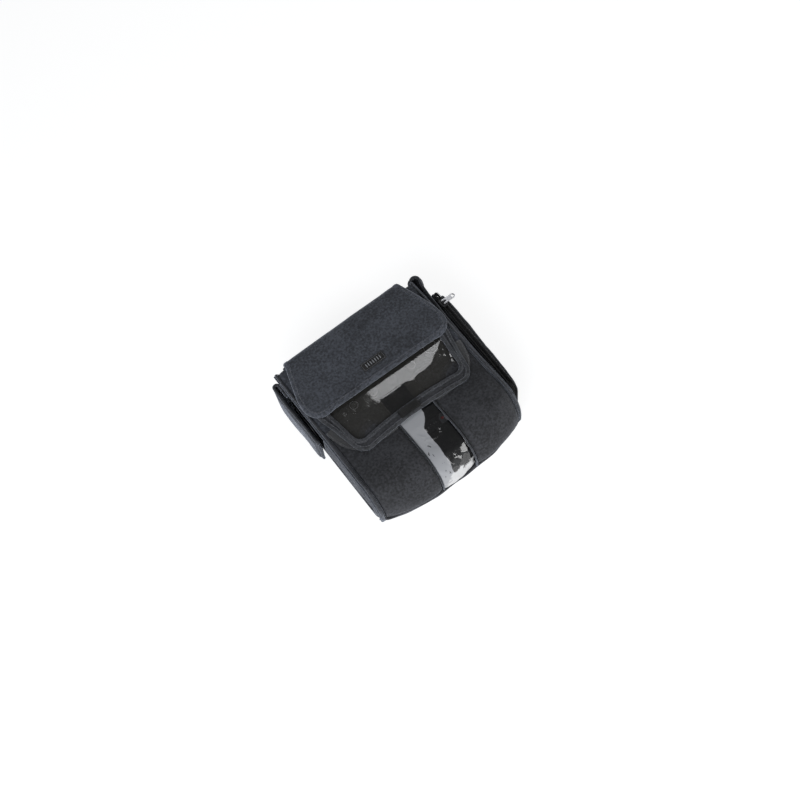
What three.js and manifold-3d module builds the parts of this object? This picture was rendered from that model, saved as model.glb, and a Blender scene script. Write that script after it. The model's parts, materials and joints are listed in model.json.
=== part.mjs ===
// A four-channel portable field recorder in its soft carrying case, lying on its back.
// Millimetres. X runs to the right, Y towards the hinge end, Z up out of the front.
// The origin is on the outer face of the back panel, on the case's centre line.
import * as THREE from 'three';
import { mergeVertices } from 'three/addons/utils/BufferGeometryUtils.js';
import Module from 'manifold-3d';

const wasm = await Module();
wasm.setup();

// ---- driving dimensions -------------------------------------------------------------
const GAP = 0.3;                      // air between pieces that touch
const RECORDER_WIDTH = 157;
const RECORDER_LENGTH = 169;
const CASE_HALF_WIDTH = 85;           // at the seam between the front and the sides
const CASE_TOP = 102;                 // the hinge end
const CASE_BOTTOM = -98;              // the rounded end
const WALL = 5.2;                     // padded end walls
const SIDE_BULGE = 4;                 // how far the padded sides stand out past the seam
const BACK_THICK = 4;
const SEAM_HEIGHT = 66;               // where the side walls stop and the front begins
const CORNER_RADIUS = 29.5;           // where the front turns down over the rounded end
const CURVE_STEPS = 8;

// ---- plan of the lower end ----------------------------------------------------------
const DRAW_START = -30;               // from here down the case draws in towards its end
const CORNER_DRAW = 12;               // how much shorter it is at its corners than in the middle
const BACK_DRAW = 10;                 // and at its back than at the foot of the front panels
const STRAIGHT_HALF = 21;             // half of the middle stretch that stays straight
const DRAW_STEPS = 6;                 // flats along each half of the curve

// ---- levels of the front layers -----------------------------------------------------
const FRONT_BASE = SEAM_HEIGHT + GAP;
const FRONT_FLAT = 69.2;              // the thin upper part of the front, under the flaps
const FRONT_CROWN = 73;               // the padded part below the flaps
const PANE_LEVEL = 69.7;
const FRAME_LEVEL = 70.6;
const FRAME_THICK = 2.3;
const FLAP_LEVEL = 73.5;
const FLAP_THICK = 3.5;
const VINYL = 0.8;                    // the clear strip
const PANE = 0.6;                     // the window flap's clear pane
const TRIM = 0.9;                     // hems and bands

// ---- inside of the case -------------------------------------------------------------
const INNER_HALF_WIDTH = RECORDER_WIDTH / 2 + 1;
const INNER_TOP = CASE_TOP - WALL - GAP;
const INNER_BOTTOM = CASE_BOTTOM + WALL + GAP;
const FOAM_THICK = 2.4;
const FOAM_BASE = BACK_THICK + GAP;
const FRONT_EDGE = 12;                // upper edge of the front panels
const STRIP_HALF_WIDTH = STRAIGHT_HALF;
const WRAP_END = 28;                  // how low the front panels reach at the rounded end
const CROWN_START = -30;              // where the padding starts to rise, under the flaps
const CROWN_END = -50;                // where it has its full height
const BORDER_WIDTH = 9;               // front borders beside the window
const HINGE_BAND_HALF = 74;

// ---- recorder -----------------------------------------------------------------------
const RECORDER_HALF = RECORDER_WIDTH / 2;
const RECORDER_TOP = INNER_TOP - 3;
const RECORDER_BOTTOM = RECORDER_TOP - RECORDER_LENGTH;
const RECORDER_BASE = FOAM_BASE + FOAM_THICK + GAP;
const SHEET = 1.5;                    // the recorder's metal
const PANEL_LEVEL = 63.5;             // upper face of its top panel
const SLOPE_RUN = 22;                 // its front edge slopes down under the rounded end
const SLOPE_DROP = 18;
const SOCKET_RADIUS = 11.8;
const SOCKET_BORE = 9.5;
const SOCKET_DEPTH = 22;
const SOCKET_BACK = 4;
const SOCKET_HEIGHT = 36;
const SOCKET_ROWS = [34, 64];
const ACCESS_MARGIN = 20;             // the side walls are open this far past the sockets
const ACCESS_LOW = 15;
const ACCESS_HIGH = 57;

// ---- side flaps and pocket ----------------------------------------------------------
const SIDE_FLAP_THICK = 2.5;
const LEFT_FLAP = { end: 12, low: 12, high: 52, thick: 4.6 };       // padded and short
const RIGHT_FLAP = { end: -66, low: 8, high: 58, thick: SIDE_FLAP_THICK };
const LEFT_HINGE = { x: -94.4, y: 98, radius: 5 };
const RIGHT_HINGE = { x: 95.6, y: 105, radius: 6 };
const POCKET_TOP = 82;
const POCKET_BOTTOM = -62;
const POCKET_LOW = 10;
const POCKET_HIGH = 54;
const POCKET_SKIN = 1.5;
const ZIP_GAP = 0.6;
const SLIDER = { width: 7, length: 10, height: 3, fromEnd: 18 };
const PULL = { length: 15, width: 5.6, thick: 1.3, slotEnd: 3.6, slotWidth: 2.2, eye: 1.7 };
const BRIDGE = { inner: 1.3, outer: 2.5, width: 1.4, sunk: 1 };

// ---- main controls ------------------------------------------------------------------
const KNOB_ROW = 20;
const KNOB_PLACES = [-44, -20, 4, 28];
const DIAL = { x: 56, y: 24, radius: 10 };
const KEY_ROW = -46;
const KEY_PITCH = 8.4;
const KEY_NAMES = ['rewind_key', 'stop_key', 'play_key', 'forward_key', 'record_key'];
const KEY = { width: 7, length: 11 };
const KEY_RISE = 2;
const SWITCH = { x: 64, y: 44, width: 5, length: 8, slot: 16 };
const LENS = { x: 0, y: 62, width: 84, length: 34 };

// ---- materials ----------------------------------------------------------------------
const finish = (color, roughness, metalness = 0, opacity = 1) => () =>
  new THREE.MeshStandardMaterial({ color, roughness, metalness, opacity, transparent: opacity < 1 });
const nylon = finish(0x373b44, 0.85);
const darkNylon = finish(0x2e3035, 0.88);
const blackWebbing = finish(0x161719, 0.8);
const foam = finish(0x202124, 0.95);
const clearVinyl = finish(0xc9ccd0, 0.08, 0, 0.35);
const blackMetal = finish(0x1a1b1d, 0.5, 0.6);
const blackPlastic = finish(0x121314, 0.45);
const greyPlastic = finish(0x3a3c40, 0.5);
const silver = finish(0xb9bcc0, 0.3, 0.95);
const boardGreen = finish(0x1f4a34, 0.6);
const cellWrap = finish(0x4b4e52, 0.4);

// ---- solids -------------------------------------------------------------------------
const object = new THREE.Group();

function add(name, geometry, material) {
  const mesh = new THREE.Mesh(geometry, material());
  mesh.name = name;
  object.add(mesh);
  return mesh;
}

function outline(points) {
  return new THREE.Shape(points.map(([u, v]) => new THREE.Vector2(u, v)));
}

function extrude(shape, depth, steps = 1) {
  const options = { depth, steps, bevelEnabled: false, curveSegments: CURVE_STEPS };
  return new THREE.ExtrudeGeometry(shape, options);
}

// A shape drawn in X and Y, standing from low to high.
function standing(shape, low, high) {
  return extrude(shape, high - low).translate(0, 0, low);
}

// A shape drawn in Y and Z, running from left to right.
function acrossX(shape, left, right, steps = 1) {
  const turn = new THREE.Matrix4().makeBasis(
    new THREE.Vector3(0, 1, 0), new THREE.Vector3(0, 0, 1), new THREE.Vector3(1, 0, 0));
  return extrude(shape, right - left, steps).applyMatrix4(turn).translate(left, 0, 0);
}

// A shape drawn in X and Z, running from the lower end to the upper end.
function alongY(shape, lower, upper) {
  const turn = new THREE.Matrix4().makeBasis(
    new THREE.Vector3(1, 0, 0), new THREE.Vector3(0, 0, 1), new THREE.Vector3(0, -1, 0));
  return extrude(shape, upper - lower).applyMatrix4(turn).translate(0, upper, 0);
}

function block(left, right, lower, upper, low, high) {
  const geometry = new THREE.BoxGeometry(right - left, upper - lower, high - low);
  return geometry.translate((left + right) / 2, (lower + upper) / 2, (low + high) / 2);
}

function cylinder(radius, x, y, low, high, sides = 24) {
  const geometry = new THREE.CylinderGeometry(radius, radius, high - low, sides);
  return geometry.rotateX(Math.PI / 2).translate(x, y, (low + high) / 2);
}

function roundedRectangle(left, right, lower, upper, radius) {
  const shape = new THREE.Shape();
  shape.moveTo(left + radius, lower);
  shape.lineTo(right - radius, lower);
  shape.absarc(right - radius, lower + radius, radius, -Math.PI / 2, 0);
  shape.lineTo(right, upper - radius);
  shape.absarc(right - radius, upper - radius, radius, 0, Math.PI / 2);
  shape.lineTo(left + radius, upper);
  shape.absarc(left + radius, upper - radius, radius, Math.PI / 2, Math.PI);
  shape.lineTo(left, lower + radius);
  shape.absarc(left + radius, lower + radius, radius, Math.PI, Math.PI * 1.5);
  return shape;
}

function toSolid(geometry) {
  const bare = geometry.clone();
  bare.deleteAttribute('normal');
  bare.deleteAttribute('uv');
  const merged = mergeVertices(bare, 1e-4);
  const vertProperties = new Float32Array(merged.attributes.position.array);
  const triVerts = new Uint32Array(merged.index.array);
  return new wasm.Manifold(new wasm.Mesh({ numProp: 3, vertProperties, triVerts }));
}

function toGeometry(solid) {
  const { vertProperties, triVerts } = solid.getMesh();
  const geometry = new THREE.BufferGeometry();
  geometry.setAttribute('position', new THREE.BufferAttribute(vertProperties, 3));
  geometry.setIndex(new THREE.BufferAttribute(triVerts, 1));
  return geometry;
}

function cut(base, ...tools) {
  const solid = tools.reduce((left, tool) => left.subtract(toSolid(tool)), toSolid(base));
  return toGeometry(solid);
}

function join(base, ...others) {
  const solid = others.reduce((left, other) => left.add(toSolid(other)), toSolid(base));
  return toGeometry(solid);
}

function common(first, second) {
  return toGeometry(toSolid(first).intersect(toSolid(second)));
}

function mirrorX(points) {
  return points.map(([x, y]) => [-x, y]).reverse();
}

// Points of a quarter turn about (u, v), from one angle to another, in degrees.
function arc(u, v, radius, from, to, steps = CURVE_STEPS) {
  return Array.from({ length: steps + 1 }, (_, i) => {
    const angle = THREE.MathUtils.degToRad(from + (to - from) * i / steps);
    return [u + radius * Math.cos(angle), v + radius * Math.sin(angle)];
  });
}

// ---- case shell ---------------------------------------------------------------------
// How far a place of the case is drawn in towards the hinge end: nothing above DRAW_START,
// most at the two lower corners, and more at the back than at the front.
function drawIn(x, y, z) {
  const share = THREE.MathUtils.smoothstep(DRAW_START - y, 0, DRAW_START - CASE_BOTTOM);
  const outside = Math.max(Math.abs(x) - STRAIGHT_HALF, 0) / (CASE_HALF_WIDTH - STRAIGHT_HALF);
  const under = Math.max(WRAP_END - z, 0) / WRAP_END;
  return share * (CORNER_DRAW * outside ** 2 + BACK_DRAW * under);
}

function rounded(geometry) {
  const places = geometry.attributes.position;
  for (let i = 0; i < places.count; i += 1) {
    const [x, y, z] = [places.getX(i), places.getY(i), places.getZ(i)];
    places.setY(i, y + drawIn(x, y, z));
  }
  return geometry;
}

// A level plate across the case, curved at its lower end and with rounded upper corners.
function plate(halfWidth, lower, upper, radius, low, high) {
  const section = outline([[lower, low], [upper, low], [upper, high], [lower, high]]);
  const curved = rounded(acrossX(section, -halfWidth, halfWidth, 2 * DRAW_STEPS));
  const corners = roundedRectangle(-halfWidth, halfWidth, lower - radius, upper, radius);
  return common(curved, standing(corners, low, high));
}

const CORNER_Y = INNER_BOTTOM + CORNER_RADIUS;      // centre of the rounded end's turn
const CORNER_Z = SEAM_HEIGHT - CORNER_RADIUS;

function backPanel() {
  add('back_panel',
    plate(CASE_HALF_WIDTH, CASE_BOTTOM + 1, CASE_TOP - 1, 8, 0, BACK_THICK), nylon);
  const foamPlate = plate(
    INNER_HALF_WIDTH - 1, INNER_BOTTOM + 1, INNER_TOP - 1, 4, FOAM_BASE, FOAM_BASE + FOAM_THICK);
  add('base_foam', foamPlate, foam);
}

// The padded side, seen from its end: flat inside, bulging outside.
function sideSection(side) {
  const bulge = CASE_HALF_WIDTH + SIDE_BULGE * 1.35;      // the curve's handles overshoot
  const lowHandle = SEAM_HEIGHT * 0.21;
  const highHandle = SEAM_HEIGHT * 0.73;
  const shape = new THREE.Shape();
  shape.moveTo(side * INNER_HALF_WIDTH, FOAM_BASE);
  shape.lineTo(side * (CASE_HALF_WIDTH - 1), FOAM_BASE);
  shape.bezierCurveTo(
    side * bulge, lowHandle, side * bulge, highHandle, side * CASE_HALF_WIDTH, SEAM_HEIGHT);
  shape.lineTo(side * INNER_HALF_WIDTH, SEAM_HEIGHT);
  return shape;
}

// The side's outline seen from the left or right, with the rounded end's corner.
function sideOutline() {
  return outline([
    [INNER_TOP, FOAM_BASE],
    [INNER_TOP, SEAM_HEIGHT],
    ...arc(CORNER_Y, CORNER_Z, CORNER_RADIUS - GAP, 90, 180),
    [INNER_BOTTOM + GAP, FOAM_BASE],
  ]);
}

function sideWall(name, side) {
  const reach = CASE_HALF_WIDTH + 2 * SIDE_BULGE;
  const [left, right] = side < 0 ? [-reach, 0] : [0, reach];
  const padded = common(
    alongY(sideSection(side), INNER_BOTTOM - 1, INNER_TOP + 1),
    acrossX(sideOutline(), left, right));
  const access = block(
    left, right, SOCKET_ROWS[0] - ACCESS_MARGIN, SOCKET_ROWS[1] + ACCESS_MARGIN,
    ACCESS_LOW, ACCESS_HIGH);
  add(name, rounded(cut(padded, access)), nylon);
}

function endWalls() {
  const round = WALL * 0.46;
  const topShape = roundedRectangle(
    -CASE_HALF_WIDTH, CASE_HALF_WIDTH, INNER_TOP + GAP, CASE_TOP, round);
  add('top_wall', standing(topShape, FOAM_BASE, SEAM_HEIGHT), nylon);
  const bottomShape = outline([
    [CASE_BOTTOM, FOAM_BASE], [INNER_BOTTOM - GAP, FOAM_BASE],
    [INNER_BOTTOM - GAP, WRAP_END - GAP], [CASE_BOTTOM, WRAP_END - GAP],
  ]);
  const bottomWall = acrossX(bottomShape, -CASE_HALF_WIDTH, CASE_HALF_WIDTH, 2 * DRAW_STEPS);
  add('bottom_wall', rounded(bottomWall), darkNylon);
}

// The front's thickness seen from the side: thin under the flaps, padded below them,
// and turned down over the rounded end.
function frontOutline() {
  const shoulderY = (CROWN_START * 3 + CROWN_END * 2) / 5;
  const turn = CORNER_Y - CASE_BOTTOM - GAP / 2;
  return outline([
    [FRONT_EDGE, FRONT_BASE],
    [FRONT_EDGE, FRONT_FLAT],
    [CROWN_START, FRONT_FLAT],
    [shoulderY, FRONT_CROWN - 1],
    [CROWN_END, FRONT_CROWN],
    ...arc(CORNER_Y, CORNER_Z, turn, 88, 180),
    [CASE_BOTTOM, WRAP_END],
    [INNER_BOTTOM, WRAP_END],
    ...arc(CORNER_Y, CORNER_Z, CORNER_RADIUS, 180, 90),
  ]);
}

function frontPanels() {
  const panel = (left, right) => rounded(acrossX(frontOutline(), left, right, DRAW_STEPS));
  add('left_front_panel', panel(-CASE_HALF_WIDTH, -STRIP_HALF_WIDTH), darkNylon);
  add('right_front_panel', panel(STRIP_HALF_WIDTH, CASE_HALF_WIDTH), darkNylon);
  const border = (left, right) =>
    block(left, right, FRONT_EDGE + GAP, INNER_TOP, FRONT_BASE, FRONT_FLAT);
  const borderEdge = CASE_HALF_WIDTH - BORDER_WIDTH;
  add('left_front_border', border(-CASE_HALF_WIDTH, -borderEdge), nylon);
  add('right_front_border', border(borderEdge, CASE_HALF_WIDTH), nylon);
  const hingeBand = block(
    -HINGE_BAND_HALF, HINGE_BAND_HALF, INNER_TOP + GAP, CASE_TOP - 1, FRONT_BASE, FRONT_FLAT);
  add('flap_hinge_band', hingeBand, nylon);
}

// The clear strip between the two padded panels.
function stripWindow() {
  const rise = 2.4;                   // above the seam, below the padded panels' crown
  const radius = CORNER_RADIUS + rise;
  const upper = FRONT_EDGE - 4;
  const lower = WRAP_END + 2;
  const shape = outline([
    [upper, SEAM_HEIGHT + rise],
    ...arc(CORNER_Y, CORNER_Z, radius, 90, 180),
    [CORNER_Y - radius, lower],
    [CORNER_Y - radius + VINYL, lower],
    ...arc(CORNER_Y, CORNER_Z, radius - VINYL, 180, 90),
    [upper, SEAM_HEIGHT + rise - VINYL],
  ]);
  const half = STRIP_HALF_WIDTH - GAP;
  add('strip_window', acrossX(shape, -half, half), clearVinyl);
}

// Piping along the seam between the front and a side, down to a tab at the rounded end.
function seamPiping(name, tabName, side) {
  const radius = 1.5;
  const lower = 21;                   // the piping's end, above its tab
  const tab = { half: 1.4, below: 2, above: 1.5, length: 10.5 };
  const x = side * (CASE_HALF_WIDTH + radius + 0.4);
  const turn = CORNER_RADIUS + radius + 0.8;
  const path = new THREE.CurvePath();
  const place = (y, z) => new THREE.Vector3(x, y, z);
  const points = arc(CORNER_Y, CORNER_Z, turn, 90, 180).map(([y, z]) => place(y, z));
  path.add(new THREE.LineCurve3(place(INNER_TOP, points[0].z), points[0]));
  points.slice(1).forEach((point, i) => path.add(new THREE.LineCurve3(points[i], point)));
  path.add(new THREE.LineCurve3(points.at(-1), place(points.at(-1).y, lower)));
  const section = new THREE.Shape().absarc(0, 0, radius, 0, Math.PI * 2);
  const options = { steps: 30, curveSegments: 4, bevelEnabled: false, extrudePath: path };
  add(name, rounded(new THREE.ExtrudeGeometry(section, options)), blackWebbing);
  const end = points.at(-1).y;
  const top = lower - 0.5;
  const tabBlock = block(
    x - tab.half, x + tab.half, end - tab.below, end + tab.above, top - tab.length, top);
  add(tabName, rounded(tabBlock), blackWebbing);
}

// ---- flaps on the front -------------------------------------------------------------
// Right half of a flap's edge, from the hinge down to the middle of its lower edge.
function flapEdge({ hinge, hingeY, wide, wideY, low, lowX, radius }, inset = 0) {
  const top = [hinge - inset, hingeY];
  const waist = [wide - inset, wideY];
  const start = [lowX - inset, low + radius];
  return [top, waist, ...arc(start[0] - radius + inset, low + radius, radius - inset, 0, -90, 6)];
}

// Half-widths at the hinge, at the widest place and above the rounded lower corners.
const HINGE_Y = CASE_TOP - 1.5;
const MAIN_FLAP = {
  hinge: 74, hingeY: HINGE_Y, wide: 87, wideY: 56, low: 26, lowX: 87.5, radius: 18,
};
const WINDOW_FLAP = {
  hinge: 71, hingeY: HINGE_Y, wide: 82, wideY: 30, low: -27, lowX: 73, radius: 11,
};
const WINDOW_HOLE = {
  hinge: 60, hingeY: 84, wide: 71, wideY: 30, low: -15, lowX: 66, radius: 9,
};
const CLOSURE = {
  hinge: 84, hingeY: FRONT_EDGE - 1, wide: 84, wideY: 6, low: -29.5, lowX: 80, radius: 22,
};
const CLOSURE_HOLE = {
  hinge: 78, hingeY: FRONT_EDGE - 1, wide: 76, wideY: 6, low: -21, lowX: 70, radius: 10,
};
const PANE_LAP = 3;                   // how far the pane reaches under its frame
const HEM = 7;
const PATCH = { left: -16, right: 8, lower: -25, upper: -16, thick: 1.3 };

function fullOutline(measures, inset = 0) {
  const right = flapEdge(measures, inset);
  return outline([...right, ...mirrorX(right)].reverse());
}

// A band between two edges, each moved in by its own inset.
function edgeBand(outerEdge, innerEdge, outerInset = 0, innerInset = 0) {
  const outer = flapEdge(outerEdge, outerInset);
  const inner = flapEdge(innerEdge, innerInset);
  const outerLoop = [...outer, ...mirrorX(outer)];
  const innerLoop = [...inner, ...mirrorX(inner)];
  return outline([...outerLoop, ...innerLoop.reverse()]);
}

function mainFlap() {
  const top = FLAP_LEVEL + FLAP_THICK;
  add('main_flap', standing(fullOutline(MAIN_FLAP), FLAP_LEVEL, top), nylon);
  const band = edgeBand(MAIN_FLAP, MAIN_FLAP, 0.4, HEM);
  add('main_flap_binding', standing(band, top + GAP, top + GAP + TRIM), nylon);
}

function windowFlap() {
  const frame = fullOutline(WINDOW_FLAP);
  frame.holes.push(fullOutline(WINDOW_HOLE));
  const frameTop = FRAME_LEVEL + FRAME_THICK;
  add('window_flap_frame', standing(frame, FRAME_LEVEL, frameTop), darkNylon);
  const pane = fullOutline({
    ...WINDOW_HOLE,
    hinge: WINDOW_HOLE.hinge + PANE_LAP,
    hingeY: WINDOW_HOLE.hingeY + PANE_LAP,
    wide: WINDOW_HOLE.wide + PANE_LAP,
    low: WINDOW_HOLE.low - PANE_LAP,
    lowX: WINDOW_HOLE.lowX + PANE_LAP,
  });
  add('window_pane', standing(pane, PANE_LEVEL, PANE_LEVEL + PANE), clearVinyl);
  const patchBase = frameTop + GAP;
  const patch = block(
    PATCH.left, PATCH.right, PATCH.lower, PATCH.upper, patchBase, patchBase + PATCH.thick);
  add('hook_patch', patch, blackWebbing);
}

// The hook-and-loop band that the window flap's edge presses on.
function closureBand() {
  const base = FRONT_FLAT + GAP;
  add('closure_band',
    standing(edgeBand(CLOSURE, CLOSURE_HOLE), base, base + VINYL), blackWebbing);
}

// ---- side flaps, each folded round its hinge line -----------------------------------
const ROLL_THICK = SIDE_FLAP_THICK - 0.6;           // the cloth is pressed thinner in its fold

function sideFlap(name, hinge, { end, low, high, thick }, material) {
  const bore = hinge.radius - ROLL_THICK;
  const ring = new THREE.Shape().absarc(hinge.x, hinge.y, hinge.radius, 0, Math.PI * 2);
  ring.holes.push(new THREE.Path().absarc(hinge.x, hinge.y, bore, 0, Math.PI * 2));
  const face = hinge.x - hinge.radius;
  const leg = block(face, face + thick, end, hinge.y, low, high);
  const hollow = cylinder(bore, hinge.x, hinge.y, low - 1, high + 1);
  const roll = standing(ring, low, high);
  add(name, cut(join(roll, leg), hollow), material);
}

function sideFlaps() {
  sideFlap('left_side_flap', LEFT_HINGE, LEFT_FLAP, nylon);
  sideFlap('right_side_flap', RIGHT_HINGE, RIGHT_FLAP, blackWebbing);
}

// ---- zipped pocket on the right flap ------------------------------------------------
const TRAY_FACE = RIGHT_HINGE.x - RIGHT_HINGE.radius + SIDE_FLAP_THICK + GAP;
const ZIP_X = { top: 103.5, bottom: 96.5 };         // the zip's line at the pocket's two ends
const LID_DEPTH = { top: 9.5, bottom: 5.5 };

function pocketPlan(innerTop, innerBottom, outerTop, outerBottom, shrink = 0) {
  return outline([
    [innerBottom, POCKET_BOTTOM + shrink],
    [outerBottom, POCKET_BOTTOM + shrink],
    [outerTop, POCKET_TOP - shrink],
    [innerTop, POCKET_TOP - shrink],
  ]);
}

function pocket() {
  const skin = POCKET_SKIN;
  const half = ZIP_GAP / 2;
  const [top, bottom] = [ZIP_X.top, ZIP_X.bottom];
  const tray = standing(
    pocketPlan(TRAY_FACE, TRAY_FACE, top - half, bottom - half), POCKET_LOW, POCKET_HIGH);
  const trayHollow = standing(
    pocketPlan(TRAY_FACE + skin, TRAY_FACE + skin, top + 2, bottom + 2, skin),
    POCKET_LOW + skin, POCKET_HIGH - skin);
  add('pocket_tray', cut(tray, trayHollow), blackWebbing);
  const lidTop = top + LID_DEPTH.top;
  const lidBottom = bottom + LID_DEPTH.bottom;
  const lid = standing(
    pocketPlan(top + half, bottom + half, lidTop, lidBottom), POCKET_LOW, POCKET_HIGH);
  const lidHollow = standing(
    pocketPlan(top - 2, bottom - 2, lidTop - skin, lidBottom - skin, skin),
    POCKET_LOW + skin, POCKET_HIGH - skin);
  add('pocket_lid', cut(lid, lidHollow), blackWebbing);
}

// The slider stands on the zip near the pocket's upper end. Its bridge is an arch that the
// pull's end bar lies under, so the pull can swing over from one side to the other.
function zipSlider() {
  const y = POCKET_TOP - SLIDER.fromEnd;
  const along = (y - POCKET_BOTTOM) / (POCKET_TOP - POCKET_BOTTOM);
  const x = ZIP_X.bottom + (ZIP_X.top - ZIP_X.bottom) * along;
  const base = POCKET_HIGH + GAP;
  const top = base + SLIDER.height;
  const pivot = top + GAP + PULL.thick / 2;
  const bodyShape = roundedRectangle(
    x - SLIDER.width / 2, x + SLIDER.width / 2, y - SLIDER.length / 2, y + SLIDER.length / 2, 1.5);
  const archShape = outline([
    [x + BRIDGE.outer, top - BRIDGE.sunk],
    ...arc(x, pivot, BRIDGE.outer, 0, 180),
    [x - BRIDGE.outer, top - BRIDGE.sunk],
    [x - BRIDGE.inner, top - BRIDGE.sunk],
    ...arc(x, pivot, BRIDGE.inner, 180, 0),
    [x + BRIDGE.inner, top - BRIDGE.sunk],
  ]);
  const arch = alongY(archShape, y - BRIDGE.width / 2, y + BRIDGE.width / 2);
  add('zip_slider', join(standing(bodyShape, base, top), arch), silver);
  zipPull(x, y, pivot);
}

function zipPull(x, y, pivot) {
  const half = PULL.thick / 2;
  const radius = PULL.width / 2;
  const tip = x + PULL.length - radius;
  const shape = new THREE.Shape();
  shape.moveTo(x - half, y - radius);
  shape.lineTo(tip, y - radius);
  shape.absarc(tip, y, radius, -Math.PI / 2, Math.PI / 2);
  shape.lineTo(x - half, y + radius);
  shape.holes.push(new THREE.Path().absarc(tip, y, PULL.eye, 0, Math.PI * 2));
  const plate = standing(shape, pivot - half, pivot + half);
  const slot = block(
    x + half, x + PULL.slotEnd, y - PULL.slotWidth / 2, y + PULL.slotWidth / 2,
    pivot - PULL.thick, pivot + PULL.thick);
  add('zip_pull', cut(plate, slot), silver);
}

// ---- recorder: casing ---------------------------------------------------------------
function recorderSideOutline(low) {
  const top = PANEL_LEVEL - SHEET - GAP;
  return outline([
    [RECORDER_TOP, low],
    [RECORDER_TOP, top],
    [RECORDER_BOTTOM + SLOPE_RUN, top],
    [RECORDER_BOTTOM, top - SLOPE_DROP],
    [RECORDER_BOTTOM, low],
  ]);
}

function socketTools() {
  const tools = [];
  for (const side of [-1, 1]) {
    for (const y of SOCKET_ROWS) {
      tools.push(socketCylinder(side, y, SOCKET_RADIUS + GAP, RECORDER_HALF + 2, 0));
    }
  }
  return tools;
}

// A cylinder from a socket's face inwards, stopping short of its back by stop.
function socketCylinder(side, y, radius, face, stop) {
  const length = face - (RECORDER_HALF - SOCKET_DEPTH - SOCKET_BACK) - stop;
  const geometry = new THREE.CylinderGeometry(radius, radius, length, 24);
  return geometry.rotateZ(Math.PI / 2).translate(side * (face - length / 2), y, SOCKET_HEIGHT);
}

function recorderCasing() {
  const low = RECORDER_BASE + SHEET + GAP;
  const outer = acrossX(recorderSideOutline(low), -RECORDER_HALF, RECORDER_HALF);
  const inner = acrossX(
    outline([
      [RECORDER_TOP - SHEET, low - 2],
      [RECORDER_TOP - SHEET, PANEL_LEVEL + 5],
      [RECORDER_BOTTOM + SHEET, PANEL_LEVEL + 5],
      [RECORDER_BOTTOM + SHEET, low - 2],
    ]),
    -RECORDER_HALF + SHEET, RECORDER_HALF - SHEET);
  add('recorder_chassis', cut(outer, inner, ...socketTools()), blackMetal);
  add('recorder_base_cover', block(
    -RECORDER_HALF, RECORDER_HALF, RECORDER_BOTTOM, RECORDER_TOP,
    RECORDER_BASE, RECORDER_BASE + SHEET), blackMetal);
  recorderTopPanel();
}

const KNOB = { radius: 6, shaft: 3, height: 5, hole: 3.3 };
const DIAL_SHAFT = { radius: 4, hole: 4.3 };
const BELOW_PANEL = 5;                // how far knobs and keys reach through the panel

function recorderTopPanel() {
  const bend = RECORDER_BOTTOM + SLOPE_RUN;
  const sheet = acrossX(outline([
    [RECORDER_TOP, PANEL_LEVEL - SHEET],
    [RECORDER_TOP, PANEL_LEVEL],
    [bend, PANEL_LEVEL],
    [RECORDER_BOTTOM, PANEL_LEVEL - SLOPE_DROP],
    [RECORDER_BOTTOM, PANEL_LEVEL - SLOPE_DROP - SHEET],
    [bend, PANEL_LEVEL - SHEET],
  ]), -RECORDER_HALF, RECORDER_HALF);
  const above = PANEL_LEVEL + 1;
  const below = PANEL_LEVEL - BELOW_PANEL;
  const slots = KEY_NAMES.map((_, i) => {
    const x = keyPlace(i);
    return block(x - KEY.width / 2 - GAP, x + KEY.width / 2 + GAP,
      KEY_ROW - KEY.length / 2 - GAP, KEY_ROW + KEY.length / 2 + GAP, below, above);
  });
  const shaftHoles = KNOB_PLACES.map((x) => cylinder(KNOB.hole, x, KNOB_ROW, below, above, 16));
  const dialHole = cylinder(DIAL_SHAFT.hole, DIAL.x, DIAL.y, below, above, 16);
  const switchSlot = block(
    SWITCH.x - SWITCH.width / 2 - GAP, SWITCH.x + SWITCH.width / 2 + GAP,
    SWITCH.y - SWITCH.slot / 2, SWITCH.y + SWITCH.slot / 2, below, above);
  const lensHole = block(
    LENS.x - LENS.width / 2 - GAP, LENS.x + LENS.width / 2 + GAP,
    LENS.y - LENS.length / 2 - GAP, LENS.y + LENS.length / 2 + GAP, below, above);
  add('recorder_top_panel',
    cut(sheet, ...slots, ...shaftHoles, dialHole, switchSlot, lensHole), blackPlastic);
}

function keyPlace(index) {
  return (index - (KEY_NAMES.length - 1) / 2) * KEY_PITCH;
}

// ---- recorder: controls -------------------------------------------------------------
// A turned cap on a shaft that passes through the panel.
function turnedKnob(radius, shaft, height, x, y) {
  const lift = 0.5;
  const chamfer = 0.8;
  const profile = [
    [0, -BELOW_PANEL], [shaft, -BELOW_PANEL], [shaft, lift], [radius, lift],
    [radius, height - chamfer], [radius - chamfer, height], [0, height],
  ].map(([r, z]) => new THREE.Vector2(r, PANEL_LEVEL + z));
  const geometry = new THREE.LatheGeometry(profile, 24);
  return geometry.rotateX(Math.PI / 2).translate(x, y, 0);
}

// A notch in the cap's rim shows which way the knob points.
function pointer(radius, height, x, y) {
  const top = PANEL_LEVEL + height + 1;
  return block(x - 0.5, x + 0.5, y + radius * 0.45, y + radius + 1, top - 1.8, top);
}

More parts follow.
